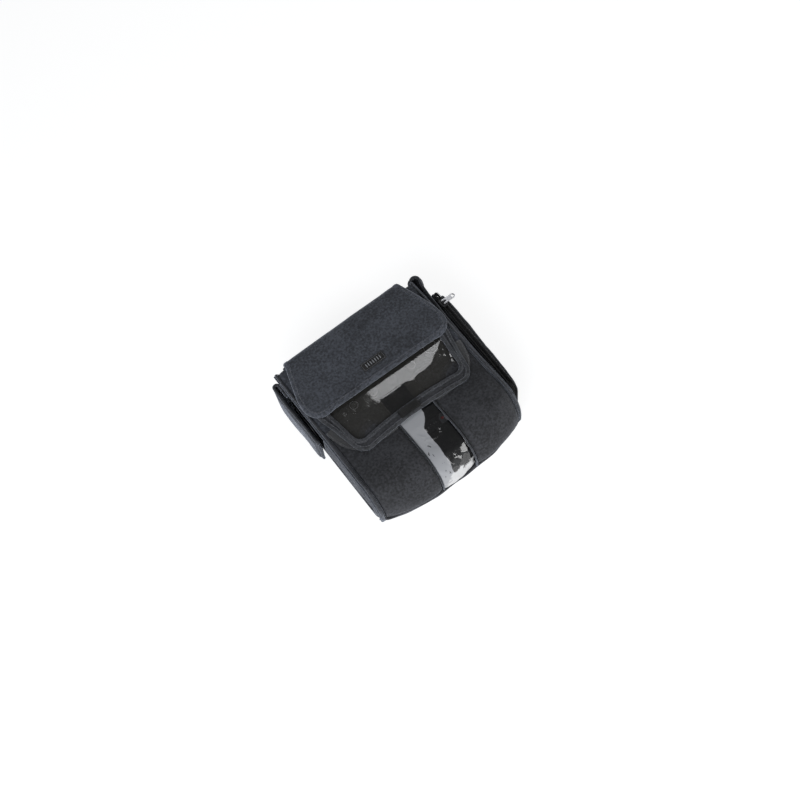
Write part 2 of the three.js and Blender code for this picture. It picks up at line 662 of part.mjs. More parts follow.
function recorderControls() {
  KNOB_PLACES.forEach((x, i) => {
    const knob = turnedKnob(KNOB.radius, KNOB.shaft, KNOB.height, x, KNOB_ROW);
    const notch = pointer(KNOB.radius, KNOB.height, x, KNOB_ROW);
    add(`level_knob_${i + 1}`, cut(knob, notch), blackPlastic);
  });
  const dial = turnedKnob(DIAL.radius, DIAL_SHAFT.radius, KNOB.height, DIAL.x, DIAL.y);
  const dialTop = PANEL_LEVEL + KNOB.height;
  const dipY = DIAL.y + DIAL.radius * 0.56;
  const fingerDip = cylinder(DIAL.radius * 0.26, DIAL.x, dipY, dialTop - 1, dialTop + 1, 16);
  add('jog_dial', cut(dial, fingerDip), blackPlastic);
  KEY_NAMES.forEach((name, i) => {
    const x = keyPlace(i);
    const shape = roundedRectangle(x - KEY.width / 2, x + KEY.width / 2,
      KEY_ROW - KEY.length / 2, KEY_ROW + KEY.length / 2, 1);
    add(name, standing(shape, PANEL_LEVEL - BELOW_PANEL, PANEL_LEVEL + KEY_RISE), greyPlastic);
  });
  const low = SWITCH.y - SWITCH.slot / 2 + GAP;
  const shape = roundedRectangle(
    SWITCH.x - SWITCH.width / 2, SWITCH.x + SWITCH.width / 2, low, low + SWITCH.length, 0.8);
  const foot = PANEL_LEVEL - BELOW_PANEL + 1;
  add('power_switch', standing(shape, foot, PANEL_LEVEL + KEY_RISE), greyPlastic);
}

// ---- recorder: inside ---------------------------------------------------------------
const LENS_RISE = 0.4;
const MODULE = { margin: 3, thick: 6 };
const BOARD = { left: -50, right: 50, lower: -72, upper: 88, level: 30, thick: 1.6 };
const DRIVE = { left: 4, right: 74, lower: -71, upper: 29, level: 11, thick: 9.5 };
const CELL = { radius: 7.15, length: 50, pitch: 15.2, rows: 2, columns: 4 };
const HOLDER = { left: -74, lower: -72.5, height: 11, wall: 1, floor: 1.2 };

function display() {
  const under = PANEL_LEVEL - SHEET;
  const [width, length] = [LENS.width / 2, LENS.length / 2];
  add('display_lens', block(
    LENS.x - width, LENS.x + width, LENS.y - length, LENS.y + length,
    under, PANEL_LEVEL + LENS_RISE), clearVinyl);
  const [wide, long] = [width + MODULE.margin, length + MODULE.margin];
  add('display_module', block(
    LENS.x - wide, LENS.x + wide, LENS.y - long, LENS.y + long,
    under - MODULE.thick, under - GAP), greyPlastic);
}

function slab(name, { left, right, lower, upper, level, thick }, material) {
  add(name, block(left, right, lower, upper, level, level + thick), material);
}

function inputSockets() {
  const face = RECORDER_HALF - GAP;
  let count = 0;
  for (const side of [-1, 1]) {
    for (const y of SOCKET_ROWS) {
      count += 1;
      const body = socketCylinder(side, y, SOCKET_RADIUS, face, 0);
      const bore = socketCylinder(side, y, SOCKET_BORE, face + 1, SOCKET_BACK + 1);
      add(`input_socket_${count}`, cut(body, bore), blackMetal);
    }
  }
}

function batteryHolder() {
  const { left, lower, height, wall } = HOLDER;
  const floor = RECORDER_BASE + SHEET + GAP + 0.2;
  const right = left + CELL.pitch * CELL.columns + 2 * wall;
  const upper = lower + (CELL.length + 1) * CELL.rows + 3 * wall;
  const bed = floor + HOLDER.floor;
  const tray = block(left, right, lower, upper, floor, floor + height);
  const hollow = block(
    left + wall, right - wall, lower + wall, upper - wall, bed, floor + 2 * height);
  add('battery_holder', cut(tray, hollow), blackPlastic);
  for (let row = 0; row < CELL.rows; row += 1) {
    for (let column = 0; column < CELL.columns; column += 1) {
      const x = left + wall + CELL.pitch * (column + 0.5);
      const start = lower + 1.5 * wall + row * (CELL.length + 1);
      const cell = new THREE.CylinderGeometry(CELL.radius, CELL.radius, CELL.length, 16);
      cell.translate(x, start + CELL.length / 2, bed + GAP + CELL.radius);
      add(`battery_cell_${row * CELL.columns + column + 1}`, cell, cellWrap);
    }
  }
}

function recorderInside() {
  display();
  slab('main_circuit_board', BOARD, boardGreen);
  slab('storage_drive', DRIVE, silver);
  batteryHolder();
  inputSockets();
}

// ---- assembly -----------------------------------------------------------------------
backPanel();
sideWall('left_side_wall', -1);
sideWall('right_side_wall', 1);
endWalls();
frontPanels();
stripWindow();
seamPiping('left_seam_piping', 'left_corner_tab', -1);
seamPiping('right_seam_piping', 'right_corner_tab', 1);
mainFlap();
windowFlap();
closureBand();
sideFlaps();
pocket();
zipSlider();
recorderCasing();
recorderControls();
recorderInside();

export default object;
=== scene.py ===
"""The looks of a portable field recorder in its soft carrying case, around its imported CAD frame.

Lengths are in millimetres until a mesh is made; X runs to the right, Y to the hinge end, Z out of the front.
"""

import json
import math

import bmesh
import bpy
import numpy as np
from mathutils import Matrix, Vector


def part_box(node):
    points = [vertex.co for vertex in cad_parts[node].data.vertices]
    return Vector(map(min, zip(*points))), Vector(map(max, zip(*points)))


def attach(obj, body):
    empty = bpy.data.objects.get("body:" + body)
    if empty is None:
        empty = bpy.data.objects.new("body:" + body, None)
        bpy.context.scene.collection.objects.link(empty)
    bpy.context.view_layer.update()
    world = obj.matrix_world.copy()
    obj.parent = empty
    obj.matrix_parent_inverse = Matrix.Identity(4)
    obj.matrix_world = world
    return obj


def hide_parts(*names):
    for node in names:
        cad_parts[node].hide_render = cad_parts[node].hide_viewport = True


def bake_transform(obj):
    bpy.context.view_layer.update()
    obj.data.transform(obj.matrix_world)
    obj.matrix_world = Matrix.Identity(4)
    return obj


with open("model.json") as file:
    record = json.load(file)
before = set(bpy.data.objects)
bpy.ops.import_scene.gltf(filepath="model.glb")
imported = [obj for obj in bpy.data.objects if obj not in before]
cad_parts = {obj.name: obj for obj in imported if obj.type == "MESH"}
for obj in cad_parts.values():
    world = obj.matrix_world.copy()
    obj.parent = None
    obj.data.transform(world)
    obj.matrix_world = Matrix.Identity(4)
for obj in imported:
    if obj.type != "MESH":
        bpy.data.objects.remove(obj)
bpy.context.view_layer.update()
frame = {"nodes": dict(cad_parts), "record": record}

MM = 0.001
GAP = 0.3                                # air that the CAD pieces keep between them
QUARTER = math.pi / 2
TINY = 1e-9                              # keeps a division from one by nothing
SIDES = ((-1, "left"), (1, "right"))     # the case's two sides, by the sign of X
ACROSS = (1, 0, 0)                       # up for a cord that runs in the plane of Y and Z


def extent(node):
    """Lowest and highest corner of a CAD node, in millimetres."""
    low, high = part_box(node)
    return low / MM, high / MM


def middle_of(low, high):
    """X and Y of the middle between two corners."""
    return (low.x + high.x) / 2, (low.y + high.y) / 2


front_low, front_high = extent("right_front_panel")
_, wall_high = extent("right_side_wall")
flap_low, flap_high = extent("main_flap")
frame_low, frame_high = extent("window_flap_frame")
pane_low, pane_high = extent("window_pane")
_, back_high = extent("back_panel")
top_low, top_high = extent("top_wall")
end_low, _ = extent("bottom_wall")

STRIP_EDGE = front_low.x                 # inner edge of the padded front panels
SEAM_X = front_high.x                    # seam between the front and the sides
FRONT_TOP = front_high.y
TURN_RADIUS = 29.5 + GAP                 # inside of the front where it turns down
END_THICK = 5.2                          # the padding at the rounded end
TURN_Y = front_low.y + END_THICK + TURN_RADIUS
TURN_Z = front_low.z + 8.5
FRONT_STRAIGHT = FRONT_TOP - TURN_Y
FRONT_LENGTH = FRONT_STRAIGHT + TURN_RADIUS * QUARTER + TURN_Z - front_low.z
PIPING_X = SEAM_X + 1.9
PIPING_RADIUS = 1.5
DRAW_START = -30                         # below here the case narrows towards its lower end
CORNER_DRAW = 12                         # how far its corners come in there
BACK_DRAW = 10                           # and how far its back does
BACK_END = front_low.y + 4               # the back's lower edge before it is drawn in
BACK_MIDDLE = (BACK_END + back_high.y) / 2
SEAM_TOP = TURN_Z + TURN_RADIUS - 3      # upper end of the case's corner seams
FLAP_DEPTH = 33                          # height of the side flaps' middle over the back
FLAP_BINDING = 1.55                      # radius of their bound edges

PANEL_SWELL = 2.4                        # how far the front panels' cloth may swell
CLOTH_FRAMES = 20                        # steps of each cloth simulation
SHARP_ANGLE = 35                         # edges sharper than this, in degrees, are bevelled
EDGE_SHARE = 0.55                        # a sheet's thickness at its edge, as a share of the rest
FINE_THREAD = 0.3                        # radius of the finer stitches
STITCH_SPACE = 0.12                      # share of a stitch's pitch left bare at each end
TOOTH = 0.42                             # radius of the zip's teeth and of the small hooks
# The clear strip's creases: x, place down the front and angle of each.
STRIP_CREASES = ((-12, 62, 0.9), (-7, 70, 0.5), (-9, 78, 1.2), (-3, 82, 0.7))


# ---- numbers ------------------------------------------------------------------------
def smooth(t):
    """0 below 0, 1 above 1, and an even rise between."""
    t = np.clip(t, 0, 1)
    return t * t * (3 - 2 * t)


def eased(value, start, length):
    """0 as far as start, then an even rise to 1 over a length."""
    return smooth((value - start) / length)


def soft_min(a, b, blur):
    """The smaller of two values, rounded off over a blur where they meet."""
    return -blur * np.logaddexp(-a / blur, -b / blur)


def ripple(p, q, size, seed):
    """Smooth uneven height between about -1 and 1, with swells about size across."""
    chance = np.random.default_rng(seed)
    waves = 6
    total = np.zeros(np.broadcast(p, q).shape)
    for _ in range(waves):
        angle = chance.uniform(0, math.tau)
        rate = math.tau / size * chance.uniform(0.7, 1.4)
        phase = chance.uniform(0, math.tau)
        total = total + np.sin(rate * (p * math.cos(angle) + q * math.sin(angle)) + phase)
    return total / math.sqrt(waves * 2)


def hollow(p, q, centre_p, centre_q, long, wide, angle=0.0):
    """1 at a centre, falling off to 0 over a long and a wide radius, turned by an angle."""
    c, s = math.cos(angle), math.sin(angle)
    along = ((p - centre_p) * c + (q - centre_q) * s) / long
    across = (-(p - centre_p) * s + (q - centre_q) * c) / wide
    return np.exp(-along * along - across * across)


# ---- meshes -------------------------------------------------------------------------
def new_piece(name, points, faces, material, tidy=True):
    """A smooth-shaded mesh from points in millimetres."""
    mesh = bpy.data.meshes.new(name)
    mesh.from_pydata((np.asarray(points, float) * MM).tolist(), [], faces)
    piece = bpy.data.objects.new(name, mesh)
    bpy.context.scene.collection.objects.link(piece)
    if tidy:
        face_outwards(mesh)
    mesh.shade_smooth()
    mesh.materials.append(material)
    return piece


def face_outwards(mesh):
    """Turns every face of a closed mesh to the outside."""
    work = bmesh.new()
    work.from_mesh(mesh)
    bmesh.ops.recalc_face_normals(work, faces=work.faces)
    work.to_mesh(mesh)
    work.free()


def bake_modifiers(piece):
    """Makes the piece's modifiers part of its mesh."""
    graph = bpy.context.evaluated_depsgraph_get()
    mesh = bpy.data.meshes.new_from_object(piece.evaluated_get(graph))
    old = piece.data
    piece.modifiers.clear()
    piece.data = mesh
    bpy.data.meshes.remove(old)
    mesh.name = piece.name
    mesh.shade_smooth()


def subdivide(piece):
    """Rounds the mesh once by subdivision."""
    modifier = piece.modifiers.new("fine", "SUBSURF")
    modifier.levels = modifier.render_levels = 1
    bake_modifiers(piece)


def bevel_node(name, width):
    """Softens the edges of a CAD node that stays."""
    modifier = frame["nodes"][name].modifiers.new("soft_edge", "BEVEL")
    modifier.width = width * MM
    modifier.segments = 2
    modifier.limit_method = "ANGLE"
    modifier.angle_limit = math.radians(SHARP_ANGLE)
    modifier.harden_normals = True


def coordinates(mesh):
    """The mesh's points, one row each, in millimetres."""
    flat = np.empty(len(mesh.vertices) * 3)
    mesh.vertices.foreach_get("co", flat)
    return flat.reshape(-1, 3) / MM


def set_coordinates(mesh, points):
    """Moves the mesh's points to places in millimetres."""
    mesh.vertices.foreach_set("co", (points * MM).ravel())
    mesh.update()


class Surface:
    """A curved sheet, given as the place in space of each flat place (p, q)."""

    def __init__(self, place):
        self.place = place

    def at(self, p, q, height=0.0):
        """Points over flat places, so high above the sheet."""
        p, q = np.broadcast_arrays(np.asarray(p, float), np.asarray(q, float))
        step = 0.4
        across = self.place(p + step, q) - self.place(p - step, q)
        along = self.place(p, q + step) - self.place(p, q - step)
        normal = np.cross(across, along)
        normal /= np.linalg.norm(normal, axis=-1, keepdims=True)
        return self.place(p, q) + normal * np.asarray(height)[..., None]


def stack(x, y, z):
    """Points from their three coordinates, each an array or one number."""
    return np.stack(np.broadcast_arrays(x, y, z), axis=-1)


def grid_faces(index, wrap=False):
    """Quads between neighbouring rows and columns of a grid of vertex numbers."""
    rows, columns = index.shape
    faces = []
    for i in range(rows if wrap else rows - 1):
        k = (i + 1) % rows
        for j in range(columns - 1):
            faces.append([int(index[i, j]), int(index[i, j + 1]), int(index[k, j + 1]), int(index[k, j])])
    return faces


def border_loops(rows, columns, wrap):
    """The grid places round each open edge of a grid, in order."""
    if wrap:
        return [[(i, 0) for i in range(rows)], [(i, columns - 1) for i in range(rows)]]
    loop = [(0, j) for j in range(columns)]
    loop += [(i, columns - 1) for i in range(1, rows)]
    loop += [(rows - 1, j) for j in range(columns - 2, -1, -1)]
    loop += [(i, 0) for i in range(rows - 2, 0, -1)]
    return [loop]


def thick_sheet(name, surface, p, q, thickness, material, wrap=False, offset=0.0):
    """A closed sheet with a rounded edge over a grid of flat places."""
    rows, columns = p.shape
    half = np.broadcast_to(np.asarray(thickness, float) / 2, p.shape).copy()
    for loop in border_loops(rows, columns, wrap):
        for i, j in loop:
            half[i, j] *= EDGE_SHARE
    over = surface.at(p, q, offset + half)
    under = surface.at(p, q, offset - half)
    middle = surface.at(p, q, np.full(p.shape, offset))
    index = np.arange(rows * columns).reshape(rows, columns)
    count = rows * columns
    points = [over.reshape(-1, 3), under.reshape(-1, 3)]
    faces = grid_faces(index, wrap) + [f[::-1] for f in grid_faces(index + count, wrap)]
    start = 2 * count
    for loop in border_loops(rows, columns, wrap):
        rim = []
        for i, j in loop:
            inner_j = min(max(j, 1), columns - 2)
            inner_i = i if wrap else min(max(i, 1), rows - 2)
            out = middle[i, j] - middle[inner_i, inner_j]
            out /= max(np.linalg.norm(out), TINY)
            rim.append(middle[i, j] + out * half[i, j])
        points.append(np.array(rim))
        size = len(loop)
        for k in range(size):
            n = (k + 1) % size
            a, b = int(index[loop[k]]), int(index[loop[n]])
            faces.append([a, b, start + n, start + k])
            faces.append([start + k, start + n, b + count, a + count])
        start += size
    piece = new_piece(name, np.concatenate(points), faces, material)
    subdivide(piece)
    return piece


def distances(line):
    """How far along a line of points each of them is."""
    return np.concatenate([[0], np.cumsum(np.linalg.norm(np.diff(line, axis=0), axis=1))])


def at_distances(line, places):
    """Points on a line at these distances along it."""
    along = distances(line)
    return np.stack([np.interp(places, along, line[:, k]) for k in range(3)], axis=1)


def band(name, surface, p, q, inward_p, inward_q, profile, material):
    """A strip along a line on a surface: profile is a loop of (inset, height) corners."""
    inset = np.array([c[0] for c in profile])
    height = np.array([c[1] for c in profile])
    at_p = p[:, None] + inward_p[:, None] * inset
    at_q = q[:, None] + inward_q[:, None] * inset
    points = surface.at(at_p, at_q, np.broadcast_to(height, at_p.shape))
    piece = sweep_rings(name, points, material)
    subdivide(piece)
    return piece


def sweep_rings(name, rings, material, closed=False):
    """Joins rings of points, each a closed loop, into one skin, with caps at open ends."""
    count, size = rings.shape[:2]
    index = np.arange(count * size).reshape(count, size)
    looped = np.concatenate([index, index[:, :1]], axis=1)
    faces = grid_faces(looped, closed)
    if not closed:
        faces.append([int(k) for k in index[0]][::-1])
        faces.append([int(k) for k in index[-1]])
    return new_piece(name, rings.reshape(-1, 3), faces, material)


def tube(name, line, radius, material, sides=10, closed=False, flat=1.0, up=(0, 0, 1)):
    """A round or flattened cord along a line of points; flat is its height over its width."""
    line = np.asarray(line, float)
    ahead = np.roll(line, -1, 0) - np.roll(line, 1, 0)
    if not closed:
        ahead[0] = line[1] - line[0]
        ahead[-1] = line[-1] - line[-2]
    ahead /= np.linalg.norm(ahead, axis=1, keepdims=True)
    side = np.cross(ahead, np.asarray(up, float))
    side /= np.linalg.norm(side, axis=1, keepdims=True)
    rise = np.cross(side, ahead)
    angles = np.linspace(0, math.tau, sides, endpoint=False)
    radius = np.broadcast_to(np.asarray(radius, float), (len(line),))
    wide = np.cos(angles)[None, :, None] * side[:, None] * radius[:, None, None]
    tall = np.sin(angles)[None, :, None] * rise[:, None] * radius[:, None, None] * flat
    return sweep_rings(name, line[:, None] + wide + tall, material, closed)


def resample(line, step):
    """Points at even steps along a line of points."""
    line = np.asarray(line, float)
    length = distances(line)[-1]
    count = max(2, int(round(length / step)) + 1)
    return at_distances(line, np.linspace(0, length, count))


def even(line, count):
    """count places at even steps along a line, without its last point."""
    return at_distances(line, np.linspace(0, distances(line)[-1], count + 1)[:-1])


def spline(points, step=1.0):
    """A smooth line through the points given (Catmull-Rom), at even steps."""
    knots = np.asarray(points, float)
    padded = np.vstack([2 * knots[0] - knots[1], knots, 2 * knots[-1] - knots[-2]])
    parts = []
    for a, b, c, d in zip(padded, padded[1:], padded[2:], padded[3:]):
        t = np.linspace(0, 1, 16, endpoint=False)[:, None]
        parts.append(0.5 * (2 * b + (c - a) * t + (2 * a - 5 * b + 4 * c - d) * t ** 2
                            + (3 * b - a - 3 * c + d) * t ** 3))
    return resample(np.vstack([*parts, knots[-1:]]), step)


class Stitching:
    """Rows of thread stitches, gathered into one mesh."""

    def __init__(self, thread=0.34, pitch=2.8):
        self.thread = thread
        self.pitch = pitch
        self.points = []
        self.faces = []
        self.count = 0

    def row(self, line):
        """Stitches along a line of points that lies on the cloth."""
        steps = resample(line, self.pitch)
        for a, b in zip(steps, steps[1:]):
            space = (b - a) * STITCH_SPACE
            self.one(a + space, b - space)

    def one(self, a, b):
        """One stitch, thick in its middle and thin at its ends a and b."""
        ahead = b - a
        length = np.linalg.norm(ahead)
        if length < TINY:
            return
        ahead = ahead / length
        upright = abs(ahead[2]) > 0.9
        hint = np.array([1.0, 0.0, 0.0]) if upright else np.array([0.0, 0.0, 1.0])
        side = np.cross(ahead, hint)
        side /= np.linalg.norm(side)
        rise = np.cross(side, ahead)
        sides = 5
        stations = ((0.0, 0.35), (0.18, 0.9), (0.5, 1.05), (0.82, 0.9), (1.0, 0.35))
        for share, width in stations:
            for k in range(sides):
                turn = math.tau * k / sides
                out = (side * math.cos(turn) + rise * math.sin(turn)) * self.thread * width
                self.points.append(a + ahead * length * share + out)
        for ring in range(len(stations) - 1):
            for k in range(sides):
                n = (k + 1) % sides
                low, high = self.count + ring * sides, self.count + (ring + 1) * sides
                self.faces.append([low + k, low + n, high + n, high + k])
        last = self.count + (len(stations) - 1) * sides
        self.faces.append([self.count + k for k in range(sides)][::-1])
        self.faces.append([last + k for k in range(sides)])
        self.count += len(stations) * sides

    def finish(self, name, body, material):
        """Makes the stitches one piece on a body."""
        points = np.array(self.points)
        if body == "case":
            points = drawn_in(points)
        piece = new_piece(name, points, self.faces, material, tidy=False)
        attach(piece, body)


# ---- cloth --------------------------------------------------------------------------
def inflate(piece, cap, pinned, allowed=None):
    """Swells a closed padded form by cloth simulation, no point by more than cap millimetres.

    pinned marks the vertices of the seams; allowed turns each movement into the part that is kept.
    """
    rest = coordinates(piece.data)
    run_cloth(piece, pinned)
    moved = coordinates(piece.data) - rest
    if allowed is not None:
        moved = allowed(moved)
    length = np.linalg.norm(moved, axis=1, keepdims=True)
    moved *= np.minimum(1, cap / np.maximum(length, TINY))
    set_coordinates(piece.data, rest + moved)
    piece.vertex_groups.clear()
    relax(piece)


def run_cloth(piece, pinned):
    """Steps a cloth with air pressure inside and no gravity, and keeps its last shape."""
    group = piece.vertex_groups.new(name="seam")
    group.add([int(k) for k in np.nonzero(pinned)[0]], 1.0, "REPLACE")
    cloth = piece.modifiers.new("cloth", "CLOTH")
    cloth.settings.use_pressure = True
    cloth.settings.uniform_pressure_force = 4.0
    cloth.settings.vertex_group_mass = group.name
    cloth.settings.effector_weights.gravity = 0
    cloth.settings.quality = 4
    cloth.settings.tension_stiffness = 12
    cloth.settings.compression_stiffness = 12
    cloth.settings.bending_stiffness = 0.6
    cloth.point_cache.frame_start = 1
    cloth.point_cache.frame_end = CLOTH_FRAMES
    scene = bpy.context.scene
    for step in range(1, CLOTH_FRAMES + 1):
        scene.frame_set(step)
    bake_modifiers(piece)
    scene.frame_set(1)


def relax(piece):
    """Evens the mesh a little."""
    work = bmesh.new()
    work.from_mesh(piece.data)
    for _ in range(2):
        bmesh.ops.smooth_vert(
            work, verts=work.verts, factor=0.5, use_axis_x=True, use_axis_y=True, use_axis_z=True)
    work.to_mesh(piece.data)
    work.free()
    piece.data.shade_smooth()


def remeshed_copy(node, name, voxel, material):
    """A copy of a CAD solid with even small faces, ready for cloth."""
    piece = bpy.data.objects.new(name, frame["nodes"][node].data.copy())
    bpy.context.scene.collection.objects.link(piece)
    piece.data.materials.clear()
    piece.data.materials.append(material)
    modifier = piece.modifiers.new("even", "REMESH")
    modifier.mode = "VOXEL"
    modifier.voxel_size = voxel * MM
    bake_modifiers(piece)
    return piece


# ---- materials ----------------------------------------------------------------------
class Shader:
    """A node material on one Principled shader, with short ways to add nodes."""

    def __init__(self, name, **sockets):
        self.material = bpy.data.materials.new(name)
        self.material.use_nodes = True
        self.tree = self.material.node_tree
        self.surface = self.tree.nodes["Principled BSDF"]
        for label, value in sockets.items():
            self.surface.inputs[label.replace("_", " ")].default_value = value
        coordinate = self.tree.nodes.new("ShaderNodeTexCoord")
        self.place = coordinate.outputs["Object"]

    def link(self, source, label):
        """Leads a node's output to the surface."""
        self.tree.links.new(source, self.surface.inputs[label])

    def plug(self, value, socket):
        """Gives a socket a number or another node's output."""
        if isinstance(value, bpy.types.NodeSocket):
            self.tree.links.new(value, socket)
        else:
            socket.default_value = value

    def math(self, operation, a, b=0.0):
        """A sum, product or other operation on two values."""
        node = self.tree.nodes.new("ShaderNodeMath")
        node.operation = operation
        self.plug(a, node.inputs[0])
        self.plug(b, node.inputs[1])
        return node.outputs[0]

    def axes(self):
        """The X, Y and Z of each place on the piece, in metres."""
        node = self.tree.nodes.new("ShaderNodeSeparateXYZ")
        self.tree.links.new(self.place, node.inputs[0])
        return node.outputs

    def noise(self, size, detail=3.0, roughness=0.55, distortion=0.0, stretch=None):
        """Noise with features about size millimetres across, from 0 to 1."""
        place = self.place
        if stretch:
            mapping = self.tree.nodes.new("ShaderNodeMapping")
            mapping.inputs["Scale"].default_value = stretch
            self.tree.links.new(place, mapping.inputs["Vector"])
            place = mapping.outputs["Vector"]
        node = self.tree.nodes.new("ShaderNodeTexNoise")
        node.inputs["Scale"].default_value = 1 / (size * MM)
        node.inputs["Detail"].default_value = detail
        node.inputs["Roughness"].default_value = roughness
        node.inputs["Distortion"].default_value = distortion
        self.tree.links.new(place, node.inputs["Vector"])
        return node.outputs["Fac"]

    def ramp(self, value, low, high, start=0.0, end=1.0):
        """Goes smoothly from start to end while the value goes from low to high."""
        node = self.tree.nodes.new("ShaderNodeMapRange")
        node.interpolation_type = "SMOOTHSTEP"
        self.plug(value, node.inputs["Value"])
        node.inputs["From Min"].default_value = low
        node.inputs["From Max"].default_value = high
        node.inputs["To Min"].default_value = start
        node.inputs["To Max"].default_value = end
        return node.outputs["Result"]

    def blend(self, share, a, b):
        """Colour a where share is 0, and b where it is 1."""
        node = self.tree.nodes.new("ShaderNodeMix")
        node.data_type = "RGBA"
        factor, colour_a, colour_b = (node.inputs[k] for k in (0, 6, 7))
        self.plug(share, factor)
        self.plug(a if isinstance(a, bpy.types.NodeSocket) else (*a, 1), colour_a)
        self.plug(b if isinstance(b, bpy.types.NodeSocket) else (*b, 1), colour_b)
        return node.outputs[2]

    def bump(self, height, strength, distance):
        """Relief in the shading, distance millimetres deep."""
        node = self.tree.nodes.new("ShaderNodeBump")
        node.inputs["Strength"].default_value = strength
        node.inputs["Distance"].default_value = distance * MM
        self.plug(height, node.inputs["Height"])
        return node.outputs["Normal"]

    def pointed(self):
        """High on worn outer edges, low in creases."""
        return self.tree.nodes.new("ShaderNodeNewGeometry").outputs["Pointiness"]


def shade(colour, factor):
    """A colour made lighter or darker."""
    return tuple(min(1.0, c * factor) for c in colour)


def woven(name, colour, thread=1.0, sheen=0.5, tint=(0.8, 0.86, 1.0)):
    """Plain-woven nylon: crossing threads, uneven dye, fibre grain and rubbed edges."""
    cloth = Shader(name, Sheen_Weight=sheen, Sheen_Roughness=0.38, Sheen_Tint=(*tint, 1), IOR=CLOTH_IOR)
    x, y, z = cloth.axes()
    lean = cloth.math("MULTIPLY", z, 0.7)
    rate = math.tau / (thread * MM)
    warp = cloth.math("SINE", cloth.math("MULTIPLY", cloth.math("ADD", x, lean), rate))
    weft = cloth.math("SINE", cloth.math("MULTIPLY", cloth.math("SUBTRACT", y, lean), rate))
    weave = cloth.math("MULTIPLY", warp, weft)
    grain = cloth.noise(1.3, detail=4.0, roughness=0.7)
    speck = cloth.noise(2.4, detail=2.0, roughness=0.6)
    mottle = cloth.noise(30.0, detail=4.0)
    tone = cloth.math("ADD", cloth.math("MULTIPLY", grain, 0.25), cloth.math("MULTIPLY", mottle, 0.25))
    tone = cloth.math("ADD", tone, cloth.math("MULTIPLY", speck, 0.5))
    tone = cloth.math("ADD", tone, cloth.math("MULTIPLY", weave, 0.04))
    dyed = cloth.blend(cloth.ramp(tone, 0.36, 0.64), shade(colour, 0.3), shade(colour, 1.75))
    worn = cloth.ramp(cloth.pointed(), 0.52, 0.6, 0.0, 0.45)
    cloth.link(cloth.blend(worn, dyed, shade(colour, 2.1)), "Base Color")
    cloth.link(cloth.ramp(grain, 0.2, 0.8, 0.72, 0.95), "Roughness")
    height = cloth.math("ADD", cloth.math("MULTIPLY", weave, 0.5), grain)
    cloth.link(cloth.bump(height, 0.6, 0.22), "Normal")
    return cloth.material


def thread_material(name, colour):
    """Twisted sewing thread."""
    thread = Shader(name, Sheen_Weight=0.4, Sheen_Roughness=0.4, IOR=CLOTH_IOR)
    twist = thread.noise(0.6, detail=2.0)
    thread.link(thread.blend(twist, shade(colour, 0.6), shade(colour, 1.5)), "Base Color")
    thread.link(thread.ramp(twist, 0.2, 0.8, 0.55, 0.85), "Roughness")
    thread.link(thread.bump(twist, 0.5, 0.15), "Normal")
    return thread.material


def loop_pile(name, colour):
    """The fuzzy half of a hook-and-loop band."""
    pile = Shader(name, Sheen_Weight=0.7, Sheen_Roughness=0.5, IOR=1.4)
    fuzz = pile.noise(1.1, detail=5.0, roughness=0.8, distortion=1.5)
    pile.link(pile.blend(fuzz, shade(colour, 0.4), shade(colour, 1.9)), "Base Color")
    pile.link(pile.ramp(fuzz, 0.2, 0.8, 0.8, 0.98), "Roughness")
    pile.link(pile.bump(fuzz, 0.9, 0.7), "Normal")
    return pile.material


def vinyl(name, alpha, clear, dusty, painted_light_grey=0.0):
    """Soft clear vinyl: glossy, faintly smoky, with fine waves.

    The last argument, when given, is a pale grey painted on the front strip's turned end as painted light;
    such a sheet also gets a grey painted reflection down its left side.
    """
    sheet = Shader(name, IOR=1.7, Specular_IOR_Level=0.9)
    waves = sheet.noise(14.0, detail=2.0, roughness=0.4)
    dust = sheet.noise(2.2, detail=4.0, roughness=0.7)
    smoke = sheet.blend(sheet.ramp(dust, 0.4, 0.75), clear, dusty)
    gloss = sheet.ramp(dust, 0.3, 0.8, 0.03, 0.09)
    if painted_light_grey:
        # painted reflection down the strip's left side and painted light on its turned end
        turned, painted_reflection = painted_light_share(sheet), painted_reflection_share(sheet)
        body = sheet.blend(painted_reflection, smoke, PAINTED_REFLECTION_COLOUR)
        sheet.link(sheet.blend(turned, body, (painted_light_grey, painted_light_grey, painted_light_grey)), "Base Color")
        cover = sheet.math("MAXIMUM", turned, painted_reflection)
        sheet.link(sheet.math("ADD", sheet.math("MULTIPLY", cover, PAINTED_LIGHT_ALPHA - alpha), alpha), "Alpha")
        gloss = sheet.math("ADD", gloss, sheet.math("MULTIPLY", cover, 0.3))
    else:
        sheet.link(smoke, "Base Color")
        sheet.surface.inputs["Alpha"].default_value = alpha
    sheet.link(gloss, "Roughness")
    sheet.link(sheet.bump(waves, 0.5, 0.12), "Normal")
    sheet.material.blend_method = "BLEND"
    return sheet.material


def painted_light_share(sheet):
    """Where the strip's turned end is painted with light: 1 below an uneven, slanting line across it."""
    x, y, _ = sheet.axes()
    edge = sheet.math("ADD", y, sheet.math("MULTIPLY", sheet.noise(7.0), 6 * MM))
    slanted = sheet.math("SUBTRACT", edge, sheet.math("MULTIPLY", x, 0.13))
    end = TURN_Y - 28.5
    return sheet.ramp(slanted, end * MM, (end + 1.5) * MM, 1.0, 0.0)


